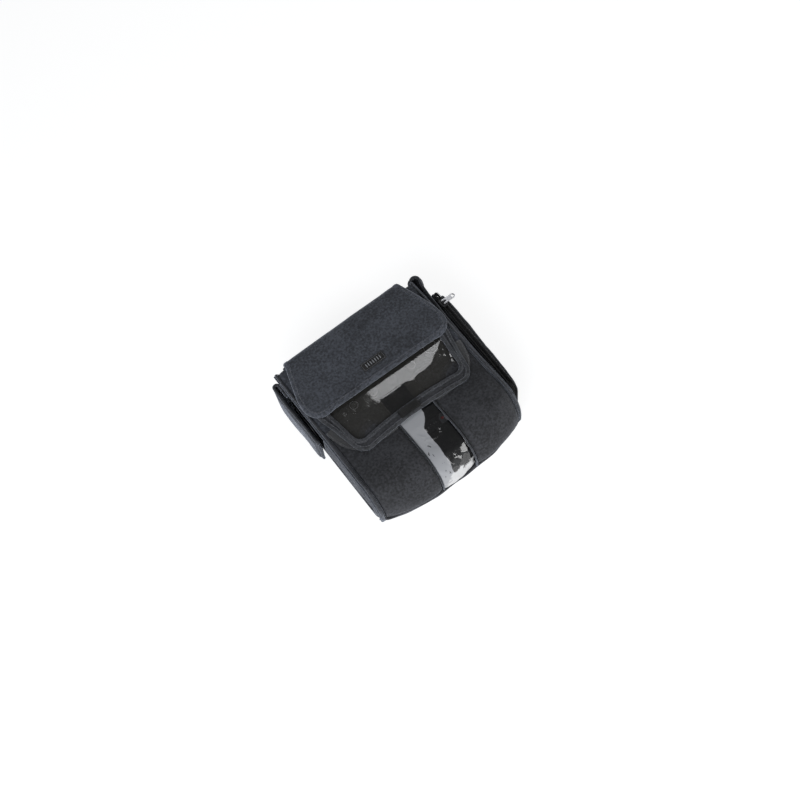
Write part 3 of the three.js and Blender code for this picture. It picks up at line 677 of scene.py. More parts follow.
def painted_reflection_share(sheet):
    """Where the strip's painted reflection lies: 1 on its left side as far as a wandering line, less a few
    creases lower down.
    """
    x, y, _ = sheet.axes()
    upper = sheet.ramp(y, -48 * MM, -30 * MM, -5 * MM, 5.5 * MM)
    line = sheet.math("ADD", upper, sheet.ramp(y, -98 * MM, -84 * MM, -2 * MM, 0.0))
    beside = sheet.math("SUBTRACT", x, line)
    beside = sheet.math("ADD", beside, sheet.math("MULTIPLY", sheet.noise(9.0), 4 * MM))
    painted_reflection = sheet.ramp(beside, 1.6 * MM, 2.4 * MM, 1.0, 0.0)
    painted_reflection = sheet.math("MULTIPLY", painted_reflection, sheet.ramp(y, -27 * MM, -22 * MM, 1.0, 0.0))
    crease = sheet.ramp(sheet.noise(5.0, stretch=(1.0, 0.45, 1.0)), 0.6, 0.64, 0.0, 0.9)
    creased = sheet.math("MULTIPLY", crease, sheet.ramp(y, -62 * MM, -54 * MM, 1.0, 0.0))
    return sheet.math("MULTIPLY", painted_reflection, sheet.math("SUBTRACT", 1.0, creased))


def moulded(name, colour, roughness=0.5, grain=0.5):
    """Moulded plastic with a fine spark texture and rubbed edges."""
    plastic = Shader(name, IOR=1.5)
    spark = plastic.noise(grain, detail=3.0)
    blotch = plastic.noise(22.0, detail=3.0)
    worn = plastic.ramp(plastic.pointed(), 0.52, 0.62, 0.0, 0.6)
    base = plastic.blend(blotch, shade(colour, 0.75), shade(colour, 1.25))
    plastic.link(plastic.blend(worn, base, shade(colour, 2.4)), "Base Color")
    plastic.link(plastic.ramp(blotch, 0.3, 0.7, roughness - 0.08, roughness + 0.1), "Roughness")
    plastic.link(plastic.bump(spark, 0.25, 0.05), "Normal")
    return plastic.material


def metal(name, colour, roughness=0.3, brushed=(1.0, 14.0, 1.0), coated=False, groove=0.04):
    """Plated or painted metal with fine brushing groove mm deep, smudges and bright worn edges."""
    plate = Shader(name, Metallic=0.0 if coated else 1.0, IOR=1.5)
    lines = plate.noise(1.6, detail=3.0, stretch=brushed)
    smudge = plate.noise(15.0, detail=4.0)
    worn = plate.ramp(plate.pointed(), 0.53, 0.62, 0.0, 0.7)
    base = plate.blend(smudge, shade(colour, 0.8), shade(colour, 1.1))
    plate.link(plate.blend(worn, base, shade(colour, 3.0 if coated else 1.15)), "Base Color")
    plate.link(plate.ramp(smudge, 0.3, 0.7, roughness, roughness + 0.16), "Roughness")
    plate.link(plate.bump(lines, 0.2, groove), "Normal")
    return plate.material


def board_material(name):
    """A printed circuit board: green mask over paler tracks in a grid."""
    board = Shader(name, IOR=1.5, Roughness=0.35)
    brick = board.tree.nodes.new("ShaderNodeTexBrick")
    brick.inputs["Scale"].default_value = 120
    brick.inputs["Mortar Size"].default_value = 0.06
    brick.inputs["Color1"].default_value = (0.012, 0.075, 0.035, 1)
    brick.inputs["Color2"].default_value = (0.016, 0.1, 0.045, 1)
    brick.inputs["Mortar"].default_value = (0.05, 0.24, 0.11, 1)
    board.tree.links.new(board.place, brick.inputs["Vector"])
    board.link(brick.outputs["Color"], "Base Color")
    board.link(board.bump(brick.outputs["Fac"], 0.3, 0.05), "Normal")
    return board.material


CLOTH_IOR = 1.45
# grey of the painted reflection down the clear strip's left side
PAINTED_REFLECTION_COLOUR = (0.29, 0.295, 0.31)
# opacity of the strip under its painted reflection and painted light
PAINTED_LIGHT_ALPHA = 0.95
NYLON_COLOUR = (0.0345, 0.0375, 0.0455)
PANEL_COLOUR = (0.022, 0.0225, 0.0255)
TRIM_COLOUR = (0.03, 0.031, 0.034)
BLACK_COLOUR = (0.011, 0.0105, 0.01)

nylon = woven("case_nylon", NYLON_COLOUR)
panel_nylon = woven("panel_nylon", PANEL_COLOUR, sheen=0.14)
# A darker copy of the case nylon for the side walls: painted shade.
shaded_wall_nylon = woven("shaded_wall_nylon", shade(NYLON_COLOUR, 0.9), sheen=0.18)
# A lighter copy of the case nylon for the main flap's hem: painted highlight.
lit_hem_nylon = woven("lit_hem_nylon", shade(NYLON_COLOUR, 1.35), sheen=0.6)
trim = woven("trim_nylon", TRIM_COLOUR, thread=0.8, sheen=0.6)
webbing = woven("black_webbing", BLACK_COLOUR, thread=1.2, sheen=0.22, tint=(1.0, 0.95, 0.88))
zip_tape = woven("zip_tape", shade(BLACK_COLOUR, 0.8), thread=0.7, sheen=0.12)
pile = loop_pile("loop_band", (0.022, 0.022, 0.023))
hook_black = moulded("hook_black", (0.008, 0.008, 0.008), 0.4)
grey_thread = thread_material("grey_thread", (0.07, 0.072, 0.08))
label_thread = thread_material("label_thread", (0.2, 0.205, 0.22))
black_thread = thread_material("black_thread", (0.015, 0.015, 0.015))
foam_black = loop_pile("foam_black", (0.012, 0.012, 0.013))
pane_vinyl = vinyl("pane_vinyl", 0.42, (0.034, 0.032, 0.028), (0.068, 0.066, 0.062))
# The strip gets a painted reflection down its left side and painted light on its turned end.
strip_vinyl = vinyl("strip_vinyl", 0.62, (0.006, 0.006, 0.0065), (0.017, 0.017, 0.017), painted_light_grey=0.56)
black_plastic = moulded("black_plastic", (0.012, 0.012, 0.012), 0.42)
grey_plastic = moulded("grey_plastic", (0.06, 0.06, 0.065), 0.45)
white_mark = moulded("white_mark", (0.2, 0.2, 0.2), 0.5)
red_mark = moulded("red_mark", (0.14, 0.012, 0.01), 0.45)
black_metal = metal("black_metal", (0.018, 0.018, 0.019), 0.38, coated=True)
nickel = metal("nickel", (0.6, 0.6, 0.62), 0.3, brushed=(12.0, 1.0, 1.0), groove=0.006)
drive_metal = metal("drive_metal", (0.55, 0.56, 0.58), 0.35)
board_green = board_material("board_green")
cell_wrap = moulded("cell_wrap", (0.1, 0.1, 0.11), 0.3)


def drawn_in(points):
    """The case narrows towards its lower end: most at its corners and under its back."""
    x, y, z = points[:, 0], points[:, 1], points[:, 2]
    share = smooth((DRAW_START - y) / (DRAW_START - front_low.y))
    outside = np.maximum(np.abs(x) - STRIP_EDGE, 0) / (SEAM_X - STRIP_EDGE)
    under = np.maximum(front_low.z - z, 0) / front_low.z
    moved = points.copy()
    moved[:, 1] += share * (CORNER_DRAW * outside ** 2 + BACK_DRAW * under)
    return moved


def stand_for(piece, body, slot, *nodes, follows_plan=True):
    """The piece rides on a body and is shown instead of CAD nodes; slot is not used."""
    if body == "case" and follows_plan:
        set_coordinates(piece.data, drawn_in(coordinates(piece.data)))
    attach(piece, body)
    if nodes:
        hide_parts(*nodes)


def cord(name, line, radius, material, body, slot, *nodes, **shape):
    """A tube along a line that stands for CAD nodes, or trims what does."""
    stand_for(tube(name, line, radius, material, **shape), body, slot, *nodes)


def bend_for(piece, body, slot, start, end, *nodes):
    """For cloth that is sewn to the case and bends over to a moving body: bakes its place into its mesh and
    hides the CAD nodes it stands for, but neither attaches it to a body nor bends it.
    """
    [v * MM for v in start]
    [v * MM for v in end]
    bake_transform(piece)
    if nodes:
        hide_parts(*nodes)


# ---- front of the case --------------------------------------------------------------
def on_front(x, a, lift):
    """Places a down the front from its upper edge, over the turn, lift out from its inside."""
    turned = np.clip((a - FRONT_STRAIGHT) / TURN_RADIUS, 0, QUARTER)
    below = np.maximum(a - FRONT_STRAIGHT - TURN_RADIUS * QUARTER, 0)
    reach = TURN_RADIUS + lift
    y = FRONT_TOP - np.minimum(a, FRONT_STRAIGHT) - reach * np.sin(turned)
    z = TURN_Z + reach * np.cos(turned) - below
    return stack(x, y, z)


def padding(a):
    """Thickness of the padded front: thin under the flaps, full below them, closing at its end."""
    thin, filling, loss_on_turn, least_share = 2.2, 4.3, 0.7, 0.3
    close = 1 - eased(a, FRONT_LENGTH - 9, 10)
    full = thin + filling * eased(a, 36, 30) - loss_on_turn * eased(a, 84, 20)
    return full * (least_share + (1 - least_share) * close)


def front_panel(name, side, node):
    """One padded panel: a stuffed form with pinched seams on all four sides."""
    columns, rows = 27, 53
    side_room, end_room, seam = 0.5, 6, 0.9
    u = np.linspace(0, 1, columns)[None, :]
    a = np.linspace(0, FRONT_LENGTH, rows)[:, None]
    x = side * (STRIP_EDGE + GAP + (SEAM_X - STRIP_EDGE - side_room) * u)
    pillow = (1 - np.abs(2 * u - 1) ** 4.5) ** 0.6
    close = np.minimum(1, np.minimum(a, FRONT_LENGTH - a) / end_room) ** 0.5
    lift = seam + (padding(a) - seam) * pillow * close
    over = on_front(x, a, lift)
    under = on_front(x, a, np.full(lift.shape, GAP))
    inner = np.zeros((rows, columns), bool)
    inner[1:-1, 1:-1] = True
    index = np.arange(rows * columns).reshape(rows, columns)
    back = index.copy()
    back[inner] = rows * columns + np.arange(inner.sum())
    points = np.concatenate([over.reshape(-1, 3), under[inner]])
    faces = grid_faces(index) + [f[::-1] for f in grid_faces(back)]
    piece = new_piece(name, points, faces, panel_nylon)
    pinned = np.ones(len(points), bool)
    pinned[index[inner]] = False
    inflate(piece, PANEL_SWELL, pinned)
    pucker(piece, side)
    subdivide(piece)
    stand_for(piece, "case", "panel_nylon", node)


def pucker(piece, side):
    """Small gathers where the padded cloth is drawn into its side seams, and slack in its middle."""
    gather, gather_size, gather_place, gather_width = 0.35, 11, 5, 4
    slack, slack_size = 0.45, 46
    points = coordinates(piece.data)
    along = np.where(points[:, 1] > TURN_Y, points[:, 1], -points[:, 2])
    for seam_x, seed in ((SEAM_X, 3), (STRIP_EDGE, 4)):
        away = np.abs(np.abs(points[:, 0]) - seam_x)
        near = np.exp(-((away - gather_place) / gather_width) ** 2)
        points[:, 2] += gather * near * ripple(along, 0 * along, gather_size, seed + side)
    upper = points[:, 2] > TURN_Z + 20
    points[:, 2] += slack * ripple(points[:, 0], points[:, 1], slack_size, 7 + side) * upper
    set_coordinates(piece.data, points)


def strip_ridge(a):
    """Where the strip's left part, which carries a painted reflection, ends, at each place down the front."""
    return 5.5 - 10.5 * eased(a, 42, 18) - 4 * eased(a, 88, 20)


def strip_lift(x, a):
    """Height of the clear strip over the case's inside: wavy, creased and pushed out at its end."""
    upper, slope, slope_end, side_slope = 4.4, 0.055, 52, 0.11
    ridge = strip_ridge(a)
    base = upper - slope * np.minimum(a, slope_end)
    fall = side_slope * np.maximum(x - ridge, 0)
    wave = 0.05 * ripple(x, a, 17, 11) + 0.09 * eased(x - ridge, 0, 8) * ripple(x, a, 9, 12)
    end = eased(a, 92, 16)
    bulge = 2.2 * end * (1 - (x / STRIP_EDGE) ** 2) + 0.35 * end * ripple(x, a, 9, 13)
    creases = 0
    for k, (at_x, at_a, angle) in enumerate(STRIP_CREASES):
        creases = creases + 0.5 * hollow(x, a, at_x, at_a, 3.2 + k, 0.7, angle)
    return base - fall + wave + bulge - creases


def strip_window():
    """The clear sheet between the two padded panels."""
    surface = Surface(lambda x, a: on_front(x, a, strip_lift(x, a)))
    a = np.linspace(4, FRONT_LENGTH - 2, 118)[:, None]
    x = np.linspace(-1, 1, 41)[None, :] * (STRIP_EDGE - 0.5)
    p, q = np.broadcast_arrays(x, a)
    piece = thick_sheet("strip_window_vinyl", surface, p, q, 0.7, strip_vinyl)
    stand_for(piece, "case", "clear_vinyl", "strip_window")


def strip_edges():
    """Narrow folded bindings where the strip is sewn between the two panels."""
    height, radius, sewn_beside, sewn_height = 1.7, 1.15, 1.9, 0.42
    under_window_flap = 30
    sewing = Stitching(pitch=2.6)
    a = np.linspace(under_window_flap, FRONT_LENGTH - 1, 90)
    for side, label in SIDES:
        x = np.full(a.shape, side * (STRIP_EDGE - 0.1))
        line = on_front(x, a, np.full(a.shape, height))
        cord(f"{label}_strip_binding", line, radius, trim, "case", "case_nylon", flat=0.9, up=ACROSS)
        sewing.row(on_front(x + side * sewn_beside, a, sewn_height * padding(a) + radius)[4:-12])
    sewing.finish("strip_stitches", "case", black_thread)


def front_borders():
    """The narrow cloth beside the window, from the hinge end to under the closure band."""
    inner_x, lower_y, level = 75, 6, 68.4
    for side, label in SIDES:
        surface = Surface(lambda x, y: stack(
            x, y, level + 0.5 * ripple(x, y, 30, 21) - 1.2 * eased(np.abs(x), 81, 5)))
        x = side * np.linspace(inner_x, SEAM_X + 0.3, 9)
        y = np.linspace(lower_y, wall_high.y + 1.5, 44)
        p, q = np.meshgrid(x, y)
        piece = thick_sheet(f"{label}_border_cloth", surface, p, q, 2.0, nylon)
        stand_for(piece, "case", "case_nylon", f"{label}_front_border")


def hinge_band():
    """The cloth that both front flaps are sewn to."""
    level, end_x = 67.8, 77
    surface = Surface(lambda x, y: stack(x, y, level + 0.3 * ripple(x, y, 25, 22)))
    p, q = np.meshgrid(np.linspace(-end_x, end_x, 60), np.linspace(top_low.y - 1, top_high.y - 0.2, 6))
    piece = thick_sheet("hinge_band_cloth", surface, p, q, 2.2, nylon)
    stand_for(piece, "case", "case_nylon", "flap_hinge_band")


def piping_line():
    """The seam's line from the hinge end along the front and down over the rounded end."""
    turn = TURN_RADIUS + PIPING_RADIUS + 0.5
    level = TURN_Z + turn
    lowest = 21
    straight = [(0, y, level) for y in np.linspace(top_high.y - 2, TURN_Y, 60)]
    angles = np.linspace(0, QUARTER, 26)[1:]
    curve = [(0, TURN_Y - turn * math.sin(t), TURN_Z + turn * math.cos(t)) for t in angles]
    down = [(0, TURN_Y - turn, z) for z in np.linspace(TURN_Z - 2, lowest, 8)]
    return np.array(straight + curve + down)


def seam_piping():
    """A covered cord in each side seam, with its flange, a welt below it and a row of stitches."""
    line = piping_line()
    wander = 0.25 * ripple(line[:, 1], line[:, 2], 34, 31)
    sewing = Stitching(thread=FINE_THREAD, pitch=2.6)
    for side, label in SIDES:

        def beside(x, sunk):
            return line + np.array([side * x, 0, 0]) + inwards(line) * sunk

        middle = line + stack(side * PIPING_X + wander * side, 0 * wander, 0 * wander)
        cord(f"{label}_piping_cord", middle, PIPING_RADIUS, trim, "case", "black_webbing",
             f"{label}_seam_piping", sides=12, up=ACROSS)
        cord(f"{label}_piping_flange", beside(PIPING_X + 1.9, 1.5), 1.1, nylon, "case", "case_nylon",
             sides=8, up=ACROSS)
        cord(f"{label}_piping_welt", beside(SEAM_X + 0.3, 1.9), 1.5, nylon, "case", "case_nylon",
             sides=8, up=ACROSS)
        sewing.row(beside(PIPING_X - 2.6, 0.5)[2:-4])
    sewing.finish("seam_stitches", "case", grey_thread)


def inwards(line):
    """Unit steps from each place of the piping's line towards the inside of the case."""
    turned = line[:, 1] < TURN_Y
    y = np.where(turned, TURN_Y - line[:, 1], 0)
    z = np.where(turned, TURN_Z - line[:, 2], -1)
    z = np.where(line[:, 2] < TURN_Z, 0, z)
    step = stack(0 * y, y, z)
    return step / np.linalg.norm(step, axis=1, keepdims=True)


def corner_tabs():
    """Folded ends of the piping at the rounded end's two corners."""
    for _, label in SIDES:
        low, high = extent(f"{label}_corner_tab")
        middle = (low + high) / 2
        fold = spline([
            (middle.x, high.y, high.z + 2.5), (middle.x, low.y - 0.6, high.z - 1.5),
            (middle.x, low.y - 1.8, middle.z), (middle.x, low.y - 0.8, low.z + 1),
            (middle.x, high.y - 0.5, low.z - 1)], 0.8)
        width = 2.4 + 0.5 * np.sin(np.linspace(0, math.pi, len(fold)))
        cord(f"{label}_tab_fold", fold, width, trim, "case", "black_webbing", f"{label}_corner_tab",
             sides=12, flat=0.55, up=ACROSS)


# ---- walls --------------------------------------------------------------------------
def padded_wall(name, node, direction, material, voxel, cap):
    """A padded wall grown from its CAD solid: it swells only outwards, along direction."""
    seam_depth, outer_start, outer_blur = 1.2, 2, 3
    piece = remeshed_copy(node, name, voxel, material)
    relax(piece)
    outwards = np.array(direction, float)

    def allowed(moved):
        out = np.maximum(moved @ outwards, 0)
        return out[:, None] * outwards

    reach = coordinates(piece.data) @ outwards
    inflate(piece, cap, reach < reach.min() + seam_depth, allowed)
    points = coordinates(piece.data)
    outer = smooth(((points @ outwards) - reach.min() - outer_start) / outer_blur)
    other = points[:, 1] if abs(direction[0]) else points[:, 0]
    sway = 0.5 * ripple(other, points[:, 2], 40, 41) + 0.2 * ripple(other, points[:, 2], 14, 42)
    points += outwards * (outer * sway)[:, None]
    points[:, 2] = np.maximum(points[:, 2], 0)
    set_coordinates(piece.data, points)
    subdivide(piece)
    return piece


def side_walls():
    """Both padded sides, each with its bound opening at the sockets."""
    for side, label in SIDES:
        node = f"{label}_side_wall"
        # the walls wear the darker copy of the nylon, painted shade
        piece = padded_wall(f"{label}_side_padding", node, (side, 0, 0), shaded_wall_nylon, voxel=2.6, cap=2.4)
        stand_for(piece, "case", "case_nylon", node, follows_plan=False)
        access_binding(label, side)


def access_binding(label, side):
    """Bound edge round the opening to the recorder's sockets."""
    openings = frame["record"]["physics"]["openings"]
    box = next(o for o in openings if o["name"] == f"{label}_socket_access")
    low, high = (np.array(corner) / MM for corner in box["box_m"])
    corner, margin, radius, wall_bulge = 3.0, 2, 1.5, 2.6
    bottom, top, lower, upper = low[2] - margin, high[2] + margin, low[1] - margin, high[1] + margin
    centres = ((upper - corner, top - corner, 0), (lower + corner, top - corner, 90),
               (lower + corner, bottom + corner, 180), (upper - corner, bottom + corner, 270))
    points = []
    for y, z, start in centres:
        for turn in np.radians(start + np.arange(0, 91, 15)):
            points.append((y + corner * math.cos(turn), z + corner * math.sin(turn)))
    line = resample([(0, y, z) for y, z in [*points, points[0]]], 2.0)[:-1]
    up_wall = np.clip((line[:, 2] - back_high.z) / (wall_high.z - back_high.z), 0, 1)
    line[:, 0] = side * (SEAM_X + wall_bulge * np.sin(up_wall * math.pi) + 1.0)
    cord(f"{label}_access_binding", line, radius, trim, "case", "case_nylon", closed=True,
         flat=0.8, up=ACROSS)


def end_walls():
    """The walls at the hinge end and at the rounded end, the latter moved in to meet the front."""
    top = padded_wall("top_padding", "top_wall", (0, 1, 0), nylon, voxel=2.4, cap=1.2)
    stand_for(top, "case", "case_nylon", "top_wall")
    bottom = padded_wall("bottom_padding", "bottom_wall", (0, -1, 0), panel_nylon, voxel=2.2, cap=0.2)
    moved_in = np.array([0, 1.6, 0])
    set_coordinates(bottom.data, coordinates(bottom.data) + moved_in)
    stand_for(bottom, "case", "panel_nylon", "bottom_wall", follows_plan=False)


def rounded_loop(half_width, lower, upper, radius, level):
    """An even line round a rounded rectangle at one level."""
    corners = ((half_width, upper, 0), (-half_width, upper, 90),
               (-half_width, lower, 180), (half_width, lower, 270))
    points = []
    for x, y, start in corners:
        cx = x - math.copysign(radius, x)
        cy = y - radius if y == upper else y + radius
        for turn in np.radians(start + np.linspace(0, 90, 9)):
            points.append((cx + radius * math.cos(turn), cy + radius * math.sin(turn), level))
    return resample([*points, points[0]], 2.0)[:-1]


def back_of_case():
    """The flat padded back with its bound rim, its row of stitches and the corner seams."""
    radius, thickness, level = 9, 3.9, 2.25
    rim = rounded_loop(back_high.x, BACK_END, back_high.y, radius, 0)
    rings = np.linspace(1.0, 0.04, 24)[None, :]
    p = rim[:, :1] * rings
    q = BACK_MIDDLE + (rim[:, 1:2] - BACK_MIDDLE) * rings
    surface = Surface(lambda x, y: stack(x, y, level + 0.12 * ripple(x, y, 30, 51)))
    piece = thick_sheet("back_padding", surface, p, q, thickness, nylon, wrap=True)
    close_centre(piece)
    lift_to_floor(piece)
    stand_for(piece, "case", "case_nylon", "back_panel")
    outer = rounded_loop(back_high.x + 1.0, BACK_END + 0.6, back_high.y + 1.2, radius + 1, 3.4)
    cord("back_binding", outer, 1.9, trim, "case", "case_nylon", closed=True)
    sewn_in = 5
    inner = rounded_loop(back_high.x - sewn_in, BACK_END + sewn_in, back_high.y - sewn_in, radius - 2, 0.35)
    sewing = Stitching(thread=FINE_THREAD)
    sewing.row(np.vstack([inner, inner[:1]]))
    sewing.finish("back_stitches", "case", grey_thread)
    corner_seams()


def close_centre(piece):
    """Fills the small hole left in the middle of a ring-shaped grid."""
    work = bmesh.new()
    work.from_mesh(piece.data)
    middle = Vector((0, BACK_MIDDLE * MM, 0))
    inner = [v for v in work.verts if (v.co.xy - middle.xy).length < 9 * MM]
    bmesh.ops.delete(work, geom=inner, context="VERTS")
    bmesh.ops.holes_fill(work, edges=[e for e in work.edges if e.is_boundary], sides=0)
    bmesh.ops.recalc_face_normals(work, faces=work.faces)
    work.to_mesh(piece.data)
    work.free()
    piece.data.shade_smooth()


def lift_to_floor(piece):
    """Keeps the piece just above what the case lies on."""
    points = coordinates(piece.data)
    points[:, 2] = np.maximum(points[:, 2], 0.02)
    set_coordinates(piece.data, points)


def corner_seams():
    """Bound vertical seams at the four corners of the case."""
    foot, end_top, radius = 3.5, 22, 1.7
    for side, label in SIDES:
        z = np.linspace(foot, SEAM_TOP, 34)
        sway = 0.3 * ripple(z, 0 * z, 22, 61 + side)
        upper = stack(side * (SEAM_X + 1.2) + sway, top_high.y - 1.2 + 0.4 * sway, z)
        cord(f"{label}_top_corner_seam", upper, radius, nylon, "case", "case_nylon", up=(0, 1, 0))
        z = np.linspace(foot, end_top, 12)
        lower = stack(side * (SEAM_X + 1.0) + 0 * z, end_low.y + 3.2 + 0 * z, z)
        cord(f"{label}_end_corner_seam", lower, radius - 0.1, nylon, "case", "case_nylon", up=(0, 1, 0))


# ---- flaps on the front -------------------------------------------------------------
def half_width(y, edge):
    """Half the width of a flap at y: out from the hinge to its waist, then in to round corners."""
    slope_low = (edge["waist"] - edge["low_x"]) / (edge["waist_y"] - edge["low"] - edge["radius"])
    slope_high = (edge["hinge"] - edge["waist"]) / (edge["hinge_y"] - edge["waist_y"])
    below = edge["waist"] + slope_low * (y - edge["waist_y"])
    above = np.maximum(edge["waist"] + slope_high * (y - edge["waist_y"]), edge["hinge"])
    width = soft_min(below, above, edge["blur"])
    dip = np.clip(edge["low"] + edge["radius"] - y, 0, edge["radius"])
    return width - edge["radius"] + np.sqrt(np.maximum(edge["radius"] ** 2 - dip ** 2, 0))


def edge_rows(edge, upper, step):
    """Rows up a flap, close together round its lower corners."""
    radius = edge["radius"]
    turns = np.radians(np.arange(0, 90, 7.5))
    low_rows = edge["low"] + radius * (1 - np.cos(turns))
    count = int(round((upper - edge["low"] - radius) / step))
    return np.concatenate([low_rows, np.linspace(edge["low"] + radius, upper, count)])


def flap_edge_line(edge, upper, step=1.6):
    """Flat places round a flap's edge, left side down, across and up, with the way inwards."""
    rows = edge_rows(edge, upper, step)[::-1]
    width = half_width(rows, edge)
    across = np.linspace(-width[-1], width[-1], max(3, int(2 * width[-1] / step)))[1:-1]
    p = np.concatenate([-width, across, width[::-1]])
    q = np.concatenate([rows, np.full(across.shape, edge["low"]), rows[::-1]])
    line = resample(stack(p, q, 0 * p), step)
    p, q = line[:, 0], line[:, 1]
    ahead_p, ahead_q = np.gradient(p), np.gradient(q)
    length = np.hypot(ahead_p, ahead_q)
    return p, q, -ahead_q / length, ahead_p / length


MAIN_EDGE = {
    "hinge": 74, "hinge_y": flap_high.y, "waist": 87, "waist_y": 56,
    "low": flap_low.y, "low_x": flap_high.x, "radius": 18, "blur": 0.7}
WINDOW_EDGE = {
    "hinge": 71, "hinge_y": frame_high.y, "waist": frame_high.x, "waist_y": 30,
    "low": frame_low.y, "low_x": 70, "radius": 11, "blur": 1.2}
HOLE_EDGE = {
    "hinge": 60, "hinge_y": 84, "waist": 71, "waist_y": 30,
    "low": -15, "low_x": 66, "radius": 9, "blur": 1.2}
FOLD_Y = 98.0                            # where the main flap starts to turn over the hinge
FOLD_RADIUS = 6.0
FLAP_MIDDLE = (flap_low.z + flap_high.z) / 2
FRAME_MIDDLE = (frame_low.z + frame_high.z) / 2
RING_TOP = 95.5                          # the window flap's cloth ends here, clear of the main flap
WINDOW_CLOTH = 1.7                       # and is so thick
FAN_X, FAN_Y = -66, -16                  # where the folds in the clear pane meet


def main_flap_level(x, y):
    """Height of the middle of the main flap: crowned, soft at its edges, a little uneven."""
    width = half_width(np.clip(y, MAIN_EDGE["low"] + 0.01, FOLD_Y), MAIN_EDGE)
    side_room = width - np.abs(x)
    low_room = y - MAIN_EDGE["low"]
    drop = 1.9 * (1 - eased(side_room, -3, 15)) + 0.7 * (1 - eased(low_room, -2, 12))
    swell = 0.7 * (1 - (x / 90) ** 2) + 0.45 * ripple(x, y, 62, 71) + 0.12 * ripple(x, y, 19, 72)
    hinge_dip = 0.8 * eased(y, 84, 14)
    return FLAP_MIDDLE + 0.2 + swell - drop - hinge_dip


def main_flap_place(x, s):
    """s is y along the flap; past the fold it runs over the hinge and down the end wall."""
    turned = np.clip((s - FOLD_Y) / FOLD_RADIUS, 0, QUARTER)
    below = np.maximum(s - FOLD_Y - FOLD_RADIUS * QUARTER, 0)
    level = main_flap_level(x, np.minimum(s, FOLD_Y))
    askew = (0.8 + 0.022 * x) * eased(s, 40, 50)
    y = np.minimum(s, FOLD_Y) + FOLD_RADIUS * np.sin(turned) + askew
    return stack(x, y, level - FOLD_RADIUS * (1 - np.cos(turned)) - below)


main_surface = Surface(main_flap_place)
FLAP_END = FOLD_Y + FOLD_RADIUS * QUARTER + 16
# Two places at the main flap's hinge; nothing bends its cloth between them.
HINGE_START = (0, FOLD_Y + FOLD_RADIUS, 66)
HINGE_END = (0, FOLD_Y + 1, 75.5)


def main_flap():
    """The upper flap: padded cloth, folded hem and label."""
    thickness, inside_hem = 3.0, 0.6
    rows = edge_rows(MAIN_EDGE, FLAP_END, 2.6)
    width = half_width(np.minimum(rows, MAIN_EDGE["hinge_y"]), MAIN_EDGE) - inside_hem
    p = width[:, None] * np.linspace(-1, 1, 61)[None, :]
    q = np.broadcast_to(rows[:, None], p.shape)
    piece = thick_sheet("main_flap_cloth", main_surface, p, q, thickness, nylon)
    bend_for(piece, "main_flap", "case_nylon", HINGE_START, HINGE_END, "main_flap")
    main_flap_hem()
    flap_label()


def main_flap_hem():
    """A folded hem round three sides, rolled over the edge, with a row of stitches."""
    p, q, in_p, in_q = flap_edge_line(MAIN_EDGE, FLAP_END - 2)
    top, face, sewn_in = 1.5, 2.0, 3.9
    profile = [
        (5.2, top - 0.5), (5.2, face - 0.2), (4.8, face), (4.0, face + 0.05), (3.2, face + 0.15),
        (2.2, face + 0.2), (1.2, face + 0.2), (0.2, face - 0.1), (-0.7, face - 0.9), (-0.9, 0.0),
        (-0.6, -1.3), (0.3, -2.0), (2.0, -2.1), (4.6, -2.0), (4.6, -1.2), (1.6, -1.0), (0.6, 0.0),
        (1.6, top - 0.5)]
    # the hem wears the lighter copy of the nylon, painted highlight
    piece = band("main_flap_hem", main_surface, p, q, in_p, in_q, profile, lit_hem_nylon)
    bend_for(piece, "main_flap", "case_nylon", HINGE_START, HINGE_END, "main_flap_binding")
    p, q, in_p, in_q = flap_edge_line(MAIN_EDGE, FOLD_Y - 4)
    sewing = Stitching(thread=0.36, pitch=3.0)
    sewing.row(on_edge(main_surface, p, q, in_p, in_q, sewn_in, face + 0.15))
    sewing.finish("main_flap_stitches", "main_flap", grey_thread)


def on_edge(surface, p, q, in_p, in_q, inset, height):
    """A line beside a flap's edge, so far in from it and so far above the cloth's middle."""
    return surface.at(p + in_p * inset, q + in_q * inset, np.full(p.shape, height))


def flap_label():
    """A plain sewn label with a border and short upright ribs, no lettering."""
    width, height, centre_x, centre_y = 27.0, 10.0, -1.5, 43.5
    lift, rib_lift, sewn_lift, sewn_in = 1.75, 2.5, 2.15, 0.9
    p, q = np.meshgrid(np.linspace(-1, 1, 19) * width / 2 + centre_x,
                       np.linspace(-1, 1, 9) * height / 2 + centre_y)
    piece = thick_sheet("flap_label", main_surface, p, q, 0.7, webbing, offset=lift)
    stand_for(piece, "main_flap", "black_webbing")
    ribs = Stitching(thread=0.5)
    reach = height / 2 - 2.6
    for x in np.linspace(-width / 2 + 5, width / 2 - 5, 7):
        ends = main_surface.at(np.array([x, x]) + centre_x, np.array([-reach, reach]) + centre_y,
                               np.full(2, rib_lift))
        ribs.one(ends[0], ends[1])
    ribs.finish("flap_label_ribs", "main_flap", label_thread)
    edge = Stitching(thread=FINE_THREAD, pitch=2.0)
    corners = [(-1, -1), (1, -1), (1, 1), (-1, 1), (-1, -1)]
    for (ax, ay), (bx, by) in zip(corners, corners[1:]):
        x = np.linspace(ax, bx, 20) * (width / 2 - sewn_in) + centre_x
        y = np.linspace(ay, by, 20) * (height / 2 - sewn_in) + centre_y
        edge.row(main_surface.at(x, y, np.full(x.shape, sewn_lift)))
    edge.finish("flap_label_stitches", "main_flap", grey_thread)


